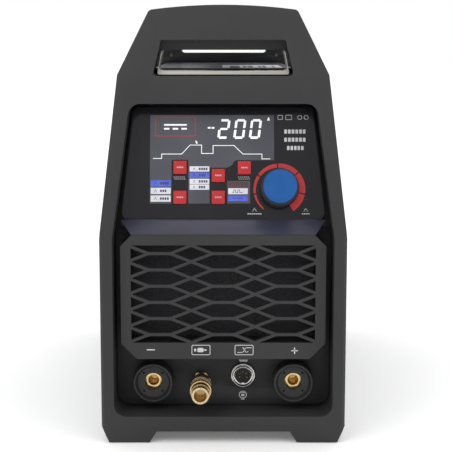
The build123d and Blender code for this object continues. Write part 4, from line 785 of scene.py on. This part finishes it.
# ---- Rear panel, fan, switch, gland, inlet and earth stud ----
# Coated steel sheet with the fittings screwed to it. The fan is glass-filled nylon behind a plated
# wire guard, and the rating plate is brushed metal with a plain printed table.
give(powder_coat, "rear_panel")
give(nylon, "fan_frame", "fan_rotor", "power_switch_body", "power_switch_rocker", "cable_gland")
give(screw_steel, "fan_guard")
plate_metal = metal("plate", (0.55, 0.55, 0.56), (0.66, 0.66, 0.67), 0.34, 200.0, (0.2, 4, 4))
give(plate_metal, "rating_plate")
low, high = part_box("rating_plate")
plate_middle = ((low.x + high.x) / 2, high.y, (low.z + high.z) / 2)
rating_place = sheet_place(plate_middle, (-1, 0, 0), (0, 0, 1), 0.00002)
wide, tall = (high.x - low.x) * 1000, (high.z - low.z) * 1000
margin, row_count, bar_step = 1.5, 5, 5.4
row_height = (tall - 2 * margin) / row_count
table = [outline_box(0, 0, wide - 2 * margin, tall - 2 * margin, 0.8, 0.35)]
for row in range(1, row_count):
    table.append(plate(0, tall / 2 - margin - row * row_height, wide - 2 * margin, 0.3))
for row in range(row_count):
    y = tall / 2 - margin - (row + 0.5) * row_height
    for step in range(6 - row % 2):
        table.append(plate(-wide / 2 + 7 + step * bar_step, y, 3.6 + (step + row) % 2, 1.2, 0.2))
laid("rating_plate_print", table, rating_place, dark_ink)


# ---- Power parts inside the case ----
# Extruded aluminium sinks, wound copper with brown enamel, green board with its capacitors.
aluminium = metal("aluminium", (0.52, 0.53, 0.54), (0.64, 0.65, 0.66), 0.4, 200.0, (0.3, 0.3, 8))
give(aluminium, "heat_sinks")
wound, tree, shader = new_material("copper_wound")
place = add_node(tree, "ShaderNodeTexCoord")
turns = add_node(tree, "ShaderNodeTexWave", Scale=140.0)
turns.bands_direction = "Z"
tree.links.new(place.outputs["Object"], turns.inputs["Vector"])
tree.links.new(two_tones(tree, turns.outputs["Fac"], (0.10, 0.030, 0.010), (0.42, 0.15, 0.05)),
               shader.inputs["Base Color"])
tree.links.new(spread(tree, object_noise(tree, 100.0), 0.25, 0.4), shader.inputs["Roughness"])
shader.inputs["Metallic"].default_value = 0.6
bump(tree, shader, turns.outputs["Fac"], 0.8, 0.0004)
give(wound, "main_transformer", "output_choke")


# ---- Studio: pale floor, large soft lights and the camera ----
# White paper lies under the machine. The surroundings are plain light, brighter overhead, and the
# camera looks a little down on the front from close by.
bpy.ops.mesh.primitive_plane_add(size=60.0, location=(0, 0, 0))
floor = bpy.context.object
floor.name = "studio_floor"
floor_material, tree, shader = new_material("studio_paper")
tree.links.new(two_tones(tree, object_noise(tree, 2.0), (0.93, 0.93, 0.93), (0.95, 0.95, 0.95)),
               shader.inputs["Base Color"])
shader.inputs["Roughness"].default_value = 0.9
shader.inputs["Emission Color"].default_value = (1, 1, 1, 1)
shader.inputs["Emission Strength"].default_value = 0.12
floor.data.materials.append(floor_material)

world = bpy.data.worlds.new("studio")
bpy.context.scene.world = world
world.use_nodes = True
tree = world.node_tree
sky = add_node(tree, "ShaderNodeTexCoord")
height = add_node(tree, "ShaderNodeSeparateXYZ")
glow = add_node(tree, "ShaderNodeMapRange")
for key, value in (("From Min", -0.2), ("From Max", 0.9), ("To Min", 0.44), ("To Max", 1.32)):
    glow.inputs[key].default_value = value
rays = add_node(tree, "ShaderNodeLightPath")
shown = add_node(tree, "ShaderNodeMix")
tree.links.new(sky.outputs["Generated"], height.inputs["Vector"])
tree.links.new(height.outputs["Z"], glow.inputs["Value"])
tree.links.new(rays.outputs["Is Camera Ray"], shown.inputs[0])
tree.links.new(glow.outputs["Result"], shown.inputs[2])
shown.inputs[3].default_value = 1.0
tree.nodes["Background"].inputs["Color"].default_value = (1, 1, 1, 1)
tree.links.new(shown.outputs[0], tree.nodes["Background"].inputs["Strength"])


def soft_light(name, place, size, power):
    """A round soft light aimed at the middle of the machine."""
    aim = Vector((0, 0, 0.2))
    lamp = bpy.data.lights.new(name, "AREA")
    lamp.shape = "DISK"
    lamp.size = size
    lamp.energy = power
    holder = bpy.data.objects.new(name, lamp)
    bpy.context.scene.collection.objects.link(holder)
    holder.location = place
    holder.rotation_euler = (aim - Vector(place)).to_track_quat("-Z", "Y").to_euler()


soft_light("key", (-0.9, -1.5, 1.5), 0.8, 5.0)
soft_light("fill", (1.2, -1.2, 0.9), 0.9, 2.5)

camera_data = bpy.data.cameras.new("camera")
camera_data.lens = 99.2
camera_data.sensor_width = 36.0
camera = bpy.data.objects.new("camera", camera_data)
bpy.context.scene.collection.objects.link(camera)
camera_x, camera_distance, camera_height, camera_tilt = 0.0024, 1.037, 0.3466, 8.6
camera.location = (camera_x, front_y - camera_distance, camera_height)
camera.rotation_euler = (math.radians(90 - camera_tilt), 0, 0)
bpy.context.scene.camera = camera
bpy.context.scene.view_settings.view_transform = "Standard"
